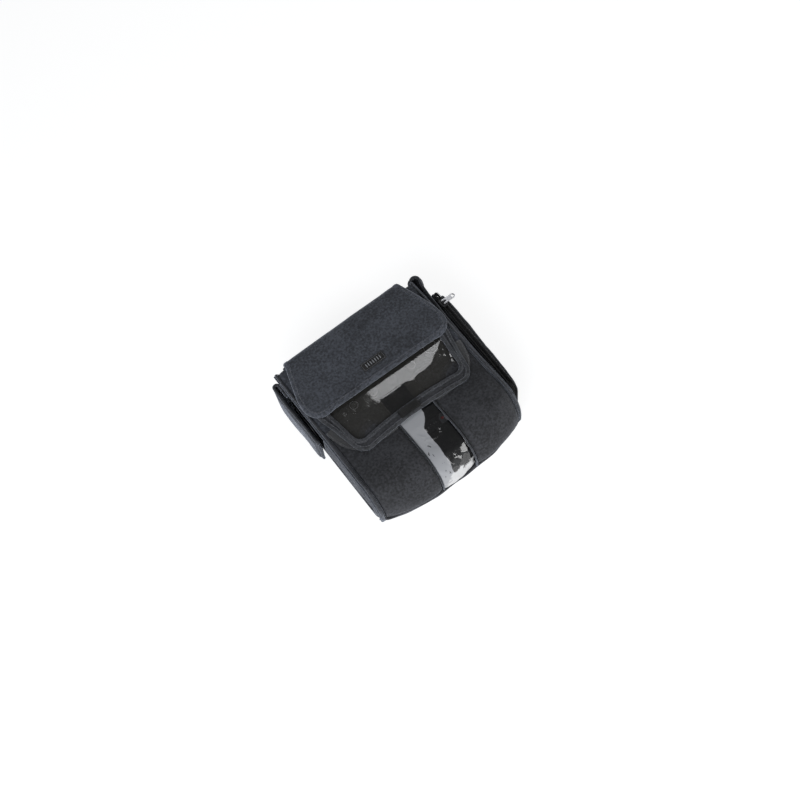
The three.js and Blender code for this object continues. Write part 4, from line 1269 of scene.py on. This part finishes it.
def window_flap_level(x, y):
    """Height of the window flap's cloth: a loose, slightly rolled sheet with a puckered corner."""
    shown = 1 - eased(y, 20, 14)
    loose = 0.45 * ripple(x, y, 34, 81) * shown
    roll = 0.7 * shown * eased(-y, 16, 12)
    tuck = 1.3 * hollow(x, y, -66, -24, 7, 3.2, 0.75) - 1.0 * hollow(x, y, -60, -20, 6, 2.4, 0.75)
    lift = 0.8 * hollow(x, y, -76, -4, 6, 16) + 0.7 * hollow(x, y, 70, -18, 12, 9)
    return FRAME_MIDDLE + 0.1 + loose - roll * 0.4 + tuck + lift


def window_bow(x, y):
    """The window flap's lower edge hangs lower at its corners than in the middle."""
    return y - 4.5 * (x / 62) ** 2 * smooth((12 - y) / 26)


window_surface = Surface(lambda x, y: stack(x, window_bow(x, y), window_flap_level(x, y)))


def ring_between(outer_edge, inner_edge, outer_top, inner_top, steps, columns):
    """A grid between two flap outlines, each closed across its upper end."""
    lines = []
    for edge, top in ((outer_edge, outer_top), (inner_edge, inner_top)):
        p, q, _, _ = flap_edge_line(edge, top)
        across = np.linspace(1, -1, 40)[1:-1] * abs(p[0])
        loop_p = np.concatenate([p, across])
        loop_q = np.concatenate([q, np.full(across.shape, top)])
        marks = [0, int(np.argmin(p + q)), int(np.argmax(p - q)), len(p) - 1, len(loop_p)]
        loop = np.vstack([stack(loop_p, loop_q, 0 * loop_p), [[loop_p[0], loop_q[0], 0]]])
        parts = [even(loop[a:b + 1], n) for a, b, n in zip(marks, marks[1:], steps)]
        lines.append(np.vstack(parts))
    share = np.linspace(0, 1, columns)[None, :, None]
    grid = lines[0][:, None] * (1 - share) + lines[1][:, None] * share
    return grid[..., 0], grid[..., 1]


def window_flap():
    """The lower flap: a cloth ring bound round its edge and round its clear pane."""
    p, q = ring_between(WINDOW_EDGE, HOLE_EDGE, RING_TOP, HOLE_EDGE["hinge_y"], (70, 70, 70, 60), 9)
    piece = thick_sheet("window_flap_cloth", window_surface, p, q, WINDOW_CLOTH, panel_nylon, wrap=True)
    stand_for(piece, "window_flap", "panel_nylon", "window_flap_frame")
    sewing = Stitching(thread=0.32)
    p, q, in_p, in_q = flap_edge_line(WINDOW_EDGE, RING_TOP + 0.5)
    outer = [(3.8, 1.0), (3.6, 1.45), (2.4, 1.65), (1.0, 1.6), (-0.2, 1.2), (-0.8, 0.0),
             (-0.3, -1.0), (1.2, -1.25), (3.2, -1.2), (3.2, -0.9), (0.8, -0.8), (0.3, 0.0), (0.8, 0.9)]
    piece = band("window_flap_binding", window_surface, p, q, in_p, in_q, outer, trim)
    stand_for(piece, "window_flap", "case_nylon")
    sewing.row(on_edge(window_surface, p, q, in_p, in_q, 2.8, 1.6))
    p, q, in_p, in_q = flap_edge_line(HOLE_EDGE, HOLE_EDGE["hinge_y"] - 4)
    inner = [(0.9, -1.0), (0.9, 0.6), (0.4, 1.15), (-0.6, 1.35), (-2.4, 1.3), (-3.6, 1.1),
             (-3.6, 0.7), (-0.4, 0.5)]
    piece = band("pane_binding", window_surface, p, q, in_p, in_q, inner, trim)
    stand_for(piece, "window_flap", "case_nylon")
    sewing.row(on_edge(window_surface, p, q, in_p, in_q, -2.6, 1.4))
    sewing.finish("window_flap_stitches", "window_flap", grey_thread)
    window_pane()
    hook_patch()


def pane_level(x, y):
    """The clear pane lies nearly flat, fans into folds at one corner and crumples at the other."""
    rest = (pane_low.z + pane_high.z) / 2 + 0.25
    calm = 0.03 * ripple(x, y, 26, 91) + 0.006 * ripple(x, y, 9, 92)
    fold = 6.5 + 1.6 * ripple(x, 0 * x, 17, 95) + 18 * eased(x, 34, 44)
    slope = 0.055 * np.maximum(fold - y, 0) * eased(y, -18, 3.5)
    turn = np.arctan2(y - FAN_Y, x - FAN_X)
    reach = np.hypot(x - FAN_X, y - FAN_Y)
    fan = 0.05 * np.sin(turn * 19) * eased(reach, 4, 8) * (1 - eased(reach, 34, 14))
    crumple = 0.6 * hollow(x, y, 67, -4, 5, 11, 0.2) * ripple(x, y, 6.5, 93)
    return rest + calm - slope + fan + crumple


def window_pane():
    """The clear sheet under the window flap's hole, a little wider than the hole all round."""
    edge = {**HOLE_EDGE, "low_x": 69, "low": pane_low.y, "waist": 74, "hinge": 63, "radius": 11}
    rows = edge_rows(edge, pane_high.y, 1.1)
    width = half_width(rows, edge)
    p = width[:, None] * np.linspace(-1, 1, 125)[None, :]
    q = np.broadcast_to(rows[:, None], p.shape)
    surface = Surface(lambda x, y: stack(x, window_bow(x, y), pane_level(x, y)))
    piece = thick_sheet("window_pane_vinyl", surface, p, q, 0.5, pane_vinyl)
    stand_for(piece, "window_flap", "clear_vinyl", "window_pane")


def hook_patch():
    """The stiff half of the fastening: a black strip with rows of small hooks."""
    low, high = extent("hook_patch")
    p, q = np.meshgrid(np.linspace(low.x, high.x, 15), np.linspace(low.y, high.y, 7))
    piece = thick_sheet("hook_patch_base", window_surface, p, q, 0.9, hook_black, offset=WINDOW_CLOTH)
    stand_for(piece, "window_flap", "black_webbing", "hook_patch")
    hooks = Stitching(thread=TOOTH)
    chance = np.random.default_rng(101)
    foot_height, bend_height, tip_height = 2.0, 3.3, 2.6
    for x in np.arange(low.x + 1.4, high.x - 1, 1.9):
        for y in np.arange(low.y + 1.3, high.y - 0.8, 1.7):
            lean = chance.uniform(-0.5, 0.5)
            foot, bend, tip = window_surface.at(
                np.array([x, x + 0.3 + lean * 0.3, x + 0.9]), np.array([y, y + lean, y + 0.3]),
                np.array([foot_height, bend_height, tip_height]))
            hooks.one(foot, bend)
            hooks.one(bend, tip)
    hooks.finish("hook_patch_hooks", "window_flap", hook_black)


def closure_band():
    """The soft band that the window flap's edge closes on, following its rounded corners."""
    low, high = extent("closure_band")
    edge = {"hinge": high.x, "hinge_y": high.y, "waist": high.x, "waist_y": high.y - 5,
            "low": low.y, "low_x": high.x - 4, "radius": 22, "blur": 0.8}
    width, level, sewn_in = 8.5, 69.95, 1.3
    p, q, in_p, in_q = flap_edge_line(edge, high.y)
    share = np.linspace(0, 1, 8)[None, :]
    clear_of_strip = 5.0 * (1 - eased(np.abs(p), STRIP_EDGE, 4))
    inset = clear_of_strip[:, None] + (width - clear_of_strip[:, None]) * share
    grid_p = p[:, None] + in_p[:, None] * inset
    grid_q = q[:, None] + in_q[:, None] * inset
    surface = Surface(lambda x, y: stack(x, y, level + 0.25 * ripple(x, y, 20, 111)))
    piece = thick_sheet("closure_band_loops", surface, grid_p, grid_q, 1.1, pile)
    stand_for(piece, "case", "black_webbing", "closure_band")
    sewing = Stitching(thread=FINE_THREAD, pitch=2.6)
    for side, _ in SIDES:
        part = (np.abs(p) > STRIP_EDGE + 4) & (np.sign(p) == side)
        sewing.row(on_edge(surface, p[part], q[part], in_p[part], in_q[part], sewn_in, 0.75))
    sewing.finish("closure_band_stitches", "case", grey_thread)


# ---- side flaps ---------------------------------------------------------------------
def rolled_surface(line, sway, seed):
    """A sheet standing across the case's depth, following a line of (x, y) points, and its length."""
    along = distances(line)
    slope = np.gradient(line, along, axis=0)

    def place(z, s):
        x = np.interp(s, along, line[:, 0])
        y = np.interp(s, along, line[:, 1])
        out_x = np.interp(s, along, slope[:, 1])
        out_y = -np.interp(s, along, slope[:, 0])
        wave = sway * ripple(z, s, 30, seed) * eased(s, 20, 30)
        return stack(x + out_x * wave, y + out_y * wave, z)

    return Surface(place), along[-1]


def side_flap(node, points, hinge, thickness, material, slot, seed, sway, pad, padded):
    """A folded flap along points, padded from place to place, with a bound edge on three sides.

    It is sewn to the case; nothing bends it between the two places of hinge.
    """
    low, high = extent(node)
    line = spline([(x, y, 0) for x, y in points])[:, :2]
    surface, length = rolled_surface(line, sway, seed)
    p, q = np.meshgrid(np.linspace(low.z + 0.5, high.z - 0.5, 21), np.arange(0, length, 1.6))
    across = 2 * (p - low.z) / (high.z - low.z) - 1
    belly = pad * eased(q, padded[0], 14) * (1 - eased(q, padded[1], 14)) * (1 - across ** 8)
    cloth = thick_sheet(node + "_cloth", surface, p, q, thickness + belly, material)
    around = [(low.z, s) for s in np.linspace(0, length - 2, 90)]
    end_room, corner = 0.5, 1.5
    around += [(z, length - end_room) for z in np.linspace(low.z + corner, high.z - corner, 26)]
    around += [(high.z, s) for s in np.linspace(length - 2, 0, 90)]
    around = np.array(around)
    binding = tube(node + "_binding", surface.at(around[:, 0], around[:, 1]), FLAP_BINDING, trim, flat=1.1)
    sewing = Stitching(thread=FINE_THREAD)
    sewn_in, sewn_from = 3.2, 30
    for z in (low.z + sewn_in, high.z - sewn_in):
        s = np.linspace(sewn_from, length - 3, 80)
        for face in (-1, 1):
            sewing.row(surface.at(np.full(s.shape, z), s, np.full(s.shape, face * (thickness / 2 + 0.15))))
    bend_for(cloth, node, slot, *hinge, node)
    bend_for(binding, node, "case_nylon", *hinge)
    sewing.finish(node + "_stitches", node, grey_thread)
    return cloth, (high.z - low.z) * MM, length * MM


def round_roll(centre_x, centre_y, radius, angles):
    """Places on a flap's roll at the hinge end."""
    return [(centre_x + radius * math.cos(t), centre_y + radius * math.sin(t)) for t in np.radians(angles)]


def left_side_flap():
    """Sewn to the wall, up round a soft roll and down again, with its end curling."""
    low, high = extent("left_side_flap")
    ring_x, ring_y, radius = low.x + 7.2, high.y - 6, 2.9
    points = [(ring_x + radius - 0.1, ring_y - 16), (ring_x + radius, ring_y - 2)]
    points += round_roll(ring_x, ring_y, radius, [20, 55, 90, 125, 160])
    points += [(ring_x - radius - 0.3, ring_y - 6), (low.x + 4.0, ring_y - 24),
               (low.x + 4.6, ring_y - 50), (low.x + 4.9, low.y + 16),
               (low.x + 5.2, low.y + 10), (low.x + 5.5, low.y + 5)]
    hinge = (ring_x + 2.4, ring_y, FLAP_DEPTH), (ring_x - 2.1, ring_y, FLAP_DEPTH)
    cloth, width, length = side_flap("left_side_flap", points, hinge, 2.6, nylon, "case_nylon",
                                     seed=121, sway=0.35, pad=4.2, padded=(24, 400))


def right_side_flap():
    """From the top corner over a soft roll, then straight down the side behind the pocket."""
    low, high = extent("right_side_flap")
    radius = 5.0
    ring_x, ring_y = low.x + 6, high.y - 6
    leg_x = low.x + 1.25
    points = [(SEAM_X + 0.6, top_high.y - 2), (SEAM_X + 3.6, ring_y + 1.5)]
    points += round_roll(ring_x, ring_y, radius, [140, 105, 70, 35, 0, -35])
    points += [(leg_x + 7.2, ring_y - 9), (leg_x + 6.0, ring_y - 18), (leg_x + 4.6, ring_y - 32),
               (leg_x + 2.2, 40), (leg_x + 0.6, 0), (leg_x, -36), (leg_x, low.y + 2)]
    hinge = (88, 107, FLAP_DEPTH), (98, 97, FLAP_DEPTH)
    cloth, width, length = side_flap("right_side_flap", points, hinge, 2.8, panel_nylon, "black_webbing",
                                     seed=131, sway=0.15, pad=5.0, padded=(8, 26))


# ---- pocket -------------------------------------------------------------------------
tray_low, tray_high = extent("pocket_tray")
lid_low, _ = extent("pocket_lid")
ZIP_BOTTOM_X = lid_low.x - GAP           # the zip's line at the pocket's lower end
ZIP_TOP_X = tray_high.x + GAP            # and at its upper end
PAN_POWER = 5.0                          # how square the pocket's corners are


def zip_x(y):
    """The zip's line leans out towards the hinge end."""
    share = (y - tray_low.y) / (tray_high.y - tray_low.y)
    return ZIP_BOTTOM_X + (ZIP_TOP_X - ZIP_BOTTOM_X) * share


def pan_surface(depth_top, depth_bottom, out, seed):
    """A shallow pan: u and v run from -1 to 1 across its mouth, which lies on the zip's line."""
    middle_y, half_y = (tray_low.y + tray_high.y) / 2, (tray_high.y - tray_low.y) / 2
    middle_z, half_z = (tray_low.z + tray_high.z) / 2, (tray_high.z - tray_low.z) / 2

    def place(u, v):
        edge = np.clip((np.abs(u) ** PAN_POWER + np.abs(v) ** PAN_POWER) ** (1 / PAN_POWER), 0, 1)
        pull = 1 - 0.07 * (np.abs(u * v)) ** 6
        y = middle_y + half_y * u * pull
        z = middle_z + half_z * v * pull
        depth = depth_bottom + (depth_top - depth_bottom) * (u + 1) / 2
        wall = (1 - edge ** 9.0) ** 0.4
        sag = 0.07 * ripple(y, z, 24, seed) + 0.03 * ripple(y, z, 10, seed + 1)
        return stack(zip_x(y) + out * (GAP + depth * wall * (1 + sag)), y, z)

    return Surface(place)


def mouth_line(out, inset=0.0, step=1.5):
    """The pocket's rim on the zip's line, open along its low side, which is the lid's fold."""
    low_z, high_z = tray_low.z + inset, tray_high.z - inset
    low_y, high_y = tray_low.y + inset, tray_high.y - inset
    radius = 7.0
    points = [(low_y, low_z)]
    for centre_y, start in ((low_y + radius, 180), (high_y - radius, 90)):
        for turn in np.radians(start - np.linspace(0, 90, 8)):
            points.append((centre_y + radius * math.cos(turn), high_z - radius + radius * math.sin(turn)))
    points.append((high_y, low_z))
    return resample([(zip_x(y) + out, y, z) for y, z in points], step)


def pocket():
    """Two shallow cloth pans, mouth to mouth, with a zip between them."""
    span = np.sin(np.linspace(-1, 1, 49) * QUARTER)
    across = np.sin(np.linspace(-1, 1, 25) * QUARTER)
    v, u = np.meshgrid(across, span)
    lid_surface = pan_surface(depth_top=9.0, depth_bottom=5.4, out=1, seed=141)
    tray_surface = pan_surface(depth_top=5.6, depth_bottom=3.4, out=-1, seed=143)
    lid = thick_sheet("pocket_lid_cloth", lid_surface, u, v, 1.2, webbing)
    stand_for(lid, "pocket_lid", "black_webbing", "pocket_lid")
    tray = thick_sheet("pocket_tray_cloth", tray_surface, u, v, 1.0, webbing)
    stand_for(tray, "right_side_flap", "black_webbing", "pocket_tray")
    zip_side("tray", "right_side_flap", -1)
    zip_side("lid", "pocket_lid", 1)
    pocket_piping("tray", "right_side_flap", tray_surface)
    pocket_piping("lid", "pocket_lid", lid_surface)


def zip_side(label, body, out):
    """One tape of the zip, its teeth and its stitches."""
    tape_width, tape_middle, sewn = 2.0, 1.9, 3.4
    cord(f"zip_tape_{label}", mouth_line(out * tape_middle), tape_width, zip_tape, body, "black_webbing",
         flat=0.5, up=ACROSS)
    teeth = Stitching(thread=TOOTH)
    root, tip, outside, spacing = 0.15, 1.3, -0.9, 1.3
    inner, outer = (mouth_line(out * reach, outside, spacing) for reach in (root, tip))
    shift = 0 if out > 0 else 1
    for a, b in list(zip(inner, outer))[shift::2]:
        teeth.one(a, b)
    teeth.finish(f"zip_teeth_{label}", body, hook_black)
    sewing = Stitching(thread=0.28, pitch=2.5)
    sewing.row(mouth_line(out * sewn, -0.75))
    sewing.finish(f"zip_stitches_{label}", body, grey_thread)


def pocket_piping(label, body, surface):
    """Cord round the edge of the pocket's face, open along its low side, which is the fold."""
    inside, height, radius, open_share = 0.95, 0.8, 1.2, 0.2
    around = np.linspace(-open_share * math.pi, (1 + open_share) * math.pi, 120)
    corner = np.abs(np.cos(around)) ** PAN_POWER + np.abs(np.sin(around)) ** PAN_POWER
    reach = inside / corner ** (1 / PAN_POWER)
    line = surface.at(reach * np.cos(around), reach * np.sin(around), np.full(around.shape, height))
    cord(f"pocket_piping_{label}", resample(line, 1.5), radius, trim, body, "case_nylon", up=ACROSS)


# ---- recorder -----------------------------------------------------------------------
def dress(names, material, bevel=0.0):
    """Gives CAD nodes that stay their finish, and soft edges."""
    for name in names:
        node = frame["nodes"][name]
        node.data.materials.clear()
        node.data.materials.append(material)
        if bevel:
            bevel_node(name, bevel)


def numbered(stem, count):
    """Names of repeated CAD nodes."""
    return [f"{stem}_{k + 1}" for k in range(count)]


KEYS = ["rewind_key", "stop_key", "play_key", "forward_key", "record_key"]
KNOBS = numbered("level_knob", 4)
SOCKETS = 4


def recorder_finishes():
    """The finish of each CAD piece that stays, with its edge's bevel."""
    finishes = [
        (["base_foam"], foam_black, 0.0),
        (["recorder_chassis", "recorder_base_cover"], black_metal, 0.4),
        (["recorder_top_panel"], black_plastic, 0.3),
        (KNOBS + ["jog_dial"], black_plastic, 0.3),
        (KEYS + ["power_switch"], grey_plastic, 0.35),
        (["display_lens"], moulded("lens_smoke", (0.006, 0.007, 0.009), 0.12, 8.0), 0.3),
        (["display_module"], grey_plastic, 0.0),
        (["main_circuit_board"], board_green, 0.0),
        (["storage_drive"], drive_metal, 0.4),
        (["battery_holder"], black_plastic, 0.3),
        (numbered("battery_cell", 8), cell_wrap, 0.5),
        (numbered("input_socket", SOCKETS), black_metal, 0.3),
        (["zip_slider"], black_metal, 0.35),
        (["zip_pull"], nickel, 0.35)]
    for names, material, bevel in finishes:
        dress(names, material, bevel)


def circle(count):
    """Angles at even steps all round."""
    return np.linspace(0, math.tau, count, endpoint=False)


def lathe(name, profile, x, y, material, sides):
    """A turned ring or cap: profile is a closed loop of (radius, height) corners."""
    rings = np.array([[(x + r * math.cos(t), y + r * math.sin(t), z) for r, z in profile]
                      for t in circle(sides)])
    return sweep_rings(name, rings, material, closed=True)


def knob_details():
    """Bright index rings and knurled grips on the turning controls."""
    grooves, mark_gap, grip_low, grip_high = 26, 0.2, 4.2, 0.9
    for name in [*KNOBS, "jog_dial"]:
        low, high = extent(name)
        x, y = middle_of(low, high)
        radius, top = (high.x - low.x) / 2, high.z
        outer, inner = radius * 0.78, radius * 0.66
        profile = [(outer, top - 0.1), (outer, top + 0.22), (outer - 0.2, top + 0.32),
                   (inner + 0.2, top + 0.32), (inner, top + 0.22), (inner, top - 0.1)]
        stand_for(lathe(f"{name}_ring", profile, x, y, nickel, 36), name, "silver")
        grip = Stitching(thread=0.34)
        for k in range(grooves):
            turn = math.tau * (k + 0.5) / grooves
            if abs(turn - QUARTER) < mark_gap:
                continue
            out = np.array([x + radius * math.cos(turn), y + radius * math.sin(turn), 0])
            grip.one(out + np.array([0, 0, top - grip_low]), out + np.array([0, 0, top - grip_high]))
        grip.finish(f"{name}_grip", name, black_plastic)


def flat_mark(name, outlines, level, material):
    """Thin raised symbols from outlines in X and Y."""
    sunk, thick = 0.05, 0.18
    points, faces = [], []
    for outline in outlines:
        start, size = len(points), len(outline)
        points += [(x, y, level - sunk) for x, y in outline] + [(x, y, level + thick) for x, y in outline]
        faces.append([start + k for k in range(size)][::-1])
        faces.append([start + size + k for k in range(size)])
        for k in range(size):
            n = (k + 1) % size
            faces.append([start + k, start + n, start + size + n, start + size + k])
    piece = new_piece(name, points, faces, material)
    piece.data.shade_flat()
    return piece


def key_marks():
    """The usual generic transport symbols on the five keys."""
    size, pair = 1.5, 1.1

    def triangle(x, y, way):
        return [(x - way * size * 0.6, y - size), (x + way * size * 0.8, y), (x - way * size * 0.6, y + size)]

    def disc(x, y):
        return [(x + size * math.cos(t), y + size * math.sin(t)) for t in circle(20)]

    def square(x, y):
        return [(x - size, y - size), (x + size, y - size), (x + size, y + size), (x - size, y + size)]

    for name in KEYS:
        low, high = extent(name)
        x, y = middle_of(low, high)
        shapes = {
            "rewind_key": [triangle(x - pair, y, -1), triangle(x + pair, y, -1)],
            "stop_key": [square(x, y)],
            "play_key": [triangle(x, y, 1)],
            "forward_key": [triangle(x - pair, y, 1), triangle(x + pair, y, 1)],
            "record_key": [disc(x, y)]}[name]
        material = red_mark if name == "record_key" else white_mark
        stand_for(flat_mark(f"{name}_symbol", shapes, high.z, material), name, "grey_plastic")


def panel_details():
    """Screws, scale marks round the knobs and a bezel round the display."""
    level = extent("recorder_top_panel")[1].z
    profile = [(2.1, level - 0.05), (2.1, level + 0.5), (1.7, level + 0.9), (0.75, level + 0.95),
               (0.6, level + 0.4), (0.6, level - 0.05)]
    screws = [(-56, 20), (-70, 84), (70, 84), (-70, -28), (70, -28)]
    for k, (x, y) in enumerate(screws):
        stand_for(lathe(f"panel_screw_{k + 1}", profile, x, y, nickel, 24), "case", "silver")
    ticks = Stitching(thread=0.22)
    inner, outer, marks = 7.2, 8.8, range(-60, 241, 30)
    for name in KNOBS:
        low, high = extent(name)
        place = np.array([*middle_of(low, high), level + 0.05])
        for turn in np.radians(marks):
            way = np.array([math.cos(turn), math.sin(turn), 0])
            ticks.one(place + way * inner, place + way * outer)
    ticks.finish("panel_scale_marks", "case", white_mark)
    low, high = extent("display_lens")
    margin = 1.3
    line = rounded_loop((high.x - low.x) / 2 + margin, low.y - margin, high.y + margin, 2.5, level + 0.2)
    cord("display_bezel", line, 1.1, grey_plastic, "case", "grey_plastic", sides=8, closed=True, flat=0.7)


def socket_details():
    """Three pins and a bright rim in each microphone socket."""
    rim_radius, pin_circle, pin_foot, pin_tip = 10.6, 4.2, 20, 6
    for name in numbered("input_socket", SOCKETS):
        low, high = extent(name)
        side = -1 if low.x < 0 else 1
        face = high.x if side > 0 else low.x
        y, z = (low.y + high.y) / 2, (low.z + high.z) / 2
        ring = [(face + side * 0.15, y + rim_radius * math.cos(t), z + rim_radius * math.sin(t))
                for t in circle(40)]
        cord(f"{name}_rim", ring, 0.7, nickel, "case", "silver", sides=8, closed=True, up=ACROSS)
        pins = Stitching(thread=1.1)
        for turn in np.radians([30, 150, 270]):
            at = np.array([0, y + pin_circle * math.cos(turn), z + pin_circle * math.sin(turn)])
            pins.one(at + [face - side * pin_foot, 0, 0], at + [face - side * pin_tip, 0, 0])
        pins.finish(f"{name}_pins", "case", nickel)


# ---- studio -------------------------------------------------------------------------
# Metres and watts.
FLOOR_REACH = 8.0
KEY_POWER = 16
FILL_POWER = 7
PANEL_POWER = 1.15
PANEL_HEIGHT = 1.07


def studio():
    """A pale floor that glows like a lit sweep, a soft sky, two lights and a reflection panel."""
    floor_mesh = bpy.data.meshes.new("floor")
    work = bmesh.new()
    bmesh.ops.create_circle(work, cap_ends=True, segments=96, radius=FLOOR_REACH)
    work.to_mesh(floor_mesh)
    work.free()
    floor = bpy.data.objects.new("floor", floor_mesh)
    floor.location.z = -GAP * MM
    bpy.context.scene.collection.objects.link(floor)
    sweep = Shader("pale_floor", Roughness=0.95, Emission_Strength=1.0, Base_Color=(0.35, 0.35, 0.35, 1),
                   Emission_Color=(0.8, 0.8, 0.8, 1))
    floor_mesh.materials.append(sweep.material)
    sky()
    middle = (0, 0, 0.03)
    area_light("key", (-0.9, -0.75, 0.85), middle, 0.9, 0.9, KEY_POWER, (0.93, 0.96, 1.0))
    area_light("fill", (1.0, -0.9, 0.6), middle, 0.9, 0.7, FILL_POWER, (1.0, 1.0, 1.0))
    reflection_panel()


def sky():
    """Dim overhead and brighter towards the horizon, as in a soft studio tent."""
    world = bpy.data.worlds.new("soft_sky")
    bpy.context.scene.world = world
    world.use_nodes = True
    tree = world.node_tree
    background = tree.nodes["Background"]
    coordinate = tree.nodes.new("ShaderNodeTexCoord")
    split = tree.nodes.new("ShaderNodeSeparateXYZ")
    tree.links.new(coordinate.outputs["Generated"], split.inputs[0])
    ramp = tree.nodes.new("ShaderNodeMapRange")
    ramp.interpolation_type = "SMOOTHSTEP"
    for label, value in (("From Min", 0.15), ("From Max", 0.8), ("To Min", 0.65), ("To Max", 0.1)):
        ramp.inputs[label].default_value = value
    tree.links.new(split.outputs["Z"], ramp.inputs["Value"])
    tree.links.new(ramp.outputs["Result"], background.inputs["Strength"])
    background.inputs["Color"].default_value = (0.96, 0.98, 1.0, 1)


def area_light(name, place, aim, wide, tall, power, colour):
    """A soft light at a place, aimed at another, hidden from the camera."""
    data = bpy.data.lights.new(name, "AREA")
    data.shape = "RECTANGLE"
    data.size, data.size_y = wide, tall
    data.energy = power
    data.color = colour
    light = bpy.data.objects.new(name, data)
    light.location = place
    light.rotation_mode = "QUATERNION"
    light.rotation_quaternion = (Vector(aim) - Vector(place)).to_track_quat("-Z", "Y")
    light.visible_camera = False
    bpy.context.scene.collection.objects.link(light)
    return light


def reflection_panel():
    """A small bright panel that the clear sheets mirror towards the camera."""
    wide, tall = 0.24, 0.44
    near_left = Vector((0.176, 0.395, PANEL_HEIGHT))
    turn = math.radians(4)
    along = Vector((math.cos(turn), math.sin(turn), 0))
    away = Vector((-math.sin(turn), math.cos(turn), 0))
    centre = near_left + along * wide / 2 + away * tall / 2
    light = area_light("reflection_panel", centre, (0, 0, 0), wide, tall, PANEL_POWER, (0.97, 0.98, 1.0))
    light.rotation_quaternion = Matrix((
        (along.x, away.x, 0), (along.y, away.y, 0), (0, 0, 1))).to_quaternion()


def camera():
    """The viewpoint: 63 degrees above the table, from the rounded end's left, and rolled."""
    azimuth, elevation, roll_angle = (math.radians(v) for v in (-25.0, 63.15, -12.97))
    distance, target = 1.0, Vector((0, 0, 0.040))
    back = Vector((math.sin(azimuth) * math.cos(elevation),
                   -math.cos(azimuth) * math.cos(elevation), math.sin(elevation)))
    flat_right = (-back).cross(Vector((0, 0, 1))).normalized()
    flat_up = flat_right.cross(-back)
    right = flat_right * math.cos(roll_angle) + flat_up * math.sin(roll_angle)
    up = flat_up * math.cos(roll_angle) - flat_right * math.sin(roll_angle)
    data = bpy.data.cameras.new("camera")
    data.sensor_width = 36
    data.lens = 43.67
    data.shift_x = -0.0044
    data.shift_y = 0.0082
    eye = bpy.data.objects.new("camera", data)
    turn = Matrix((right, up, back)).transposed()
    eye.matrix_world = Matrix.Translation(target + back * distance) @ turn.to_4x4()
    bpy.context.scene.collection.objects.link(eye)
    bpy.context.scene.camera = eye


# ---- the whole object ---------------------------------------------------------------
camera()
studio()
bpy.context.scene.view_settings.view_transform = "Standard"
front_panel("left_front_padding", -1, "left_front_panel")
front_panel("right_front_padding", 1, "right_front_panel")
side_walls()
end_walls()
back_of_case()
strip_window()
strip_edges()
front_borders()
hinge_band()
seam_piping()
corner_tabs()
main_flap()
closure_band()
window_flap()
left_side_flap()
right_side_flap()
pocket()
recorder_finishes()
knob_details()
key_marks()
panel_details()
socket_details()
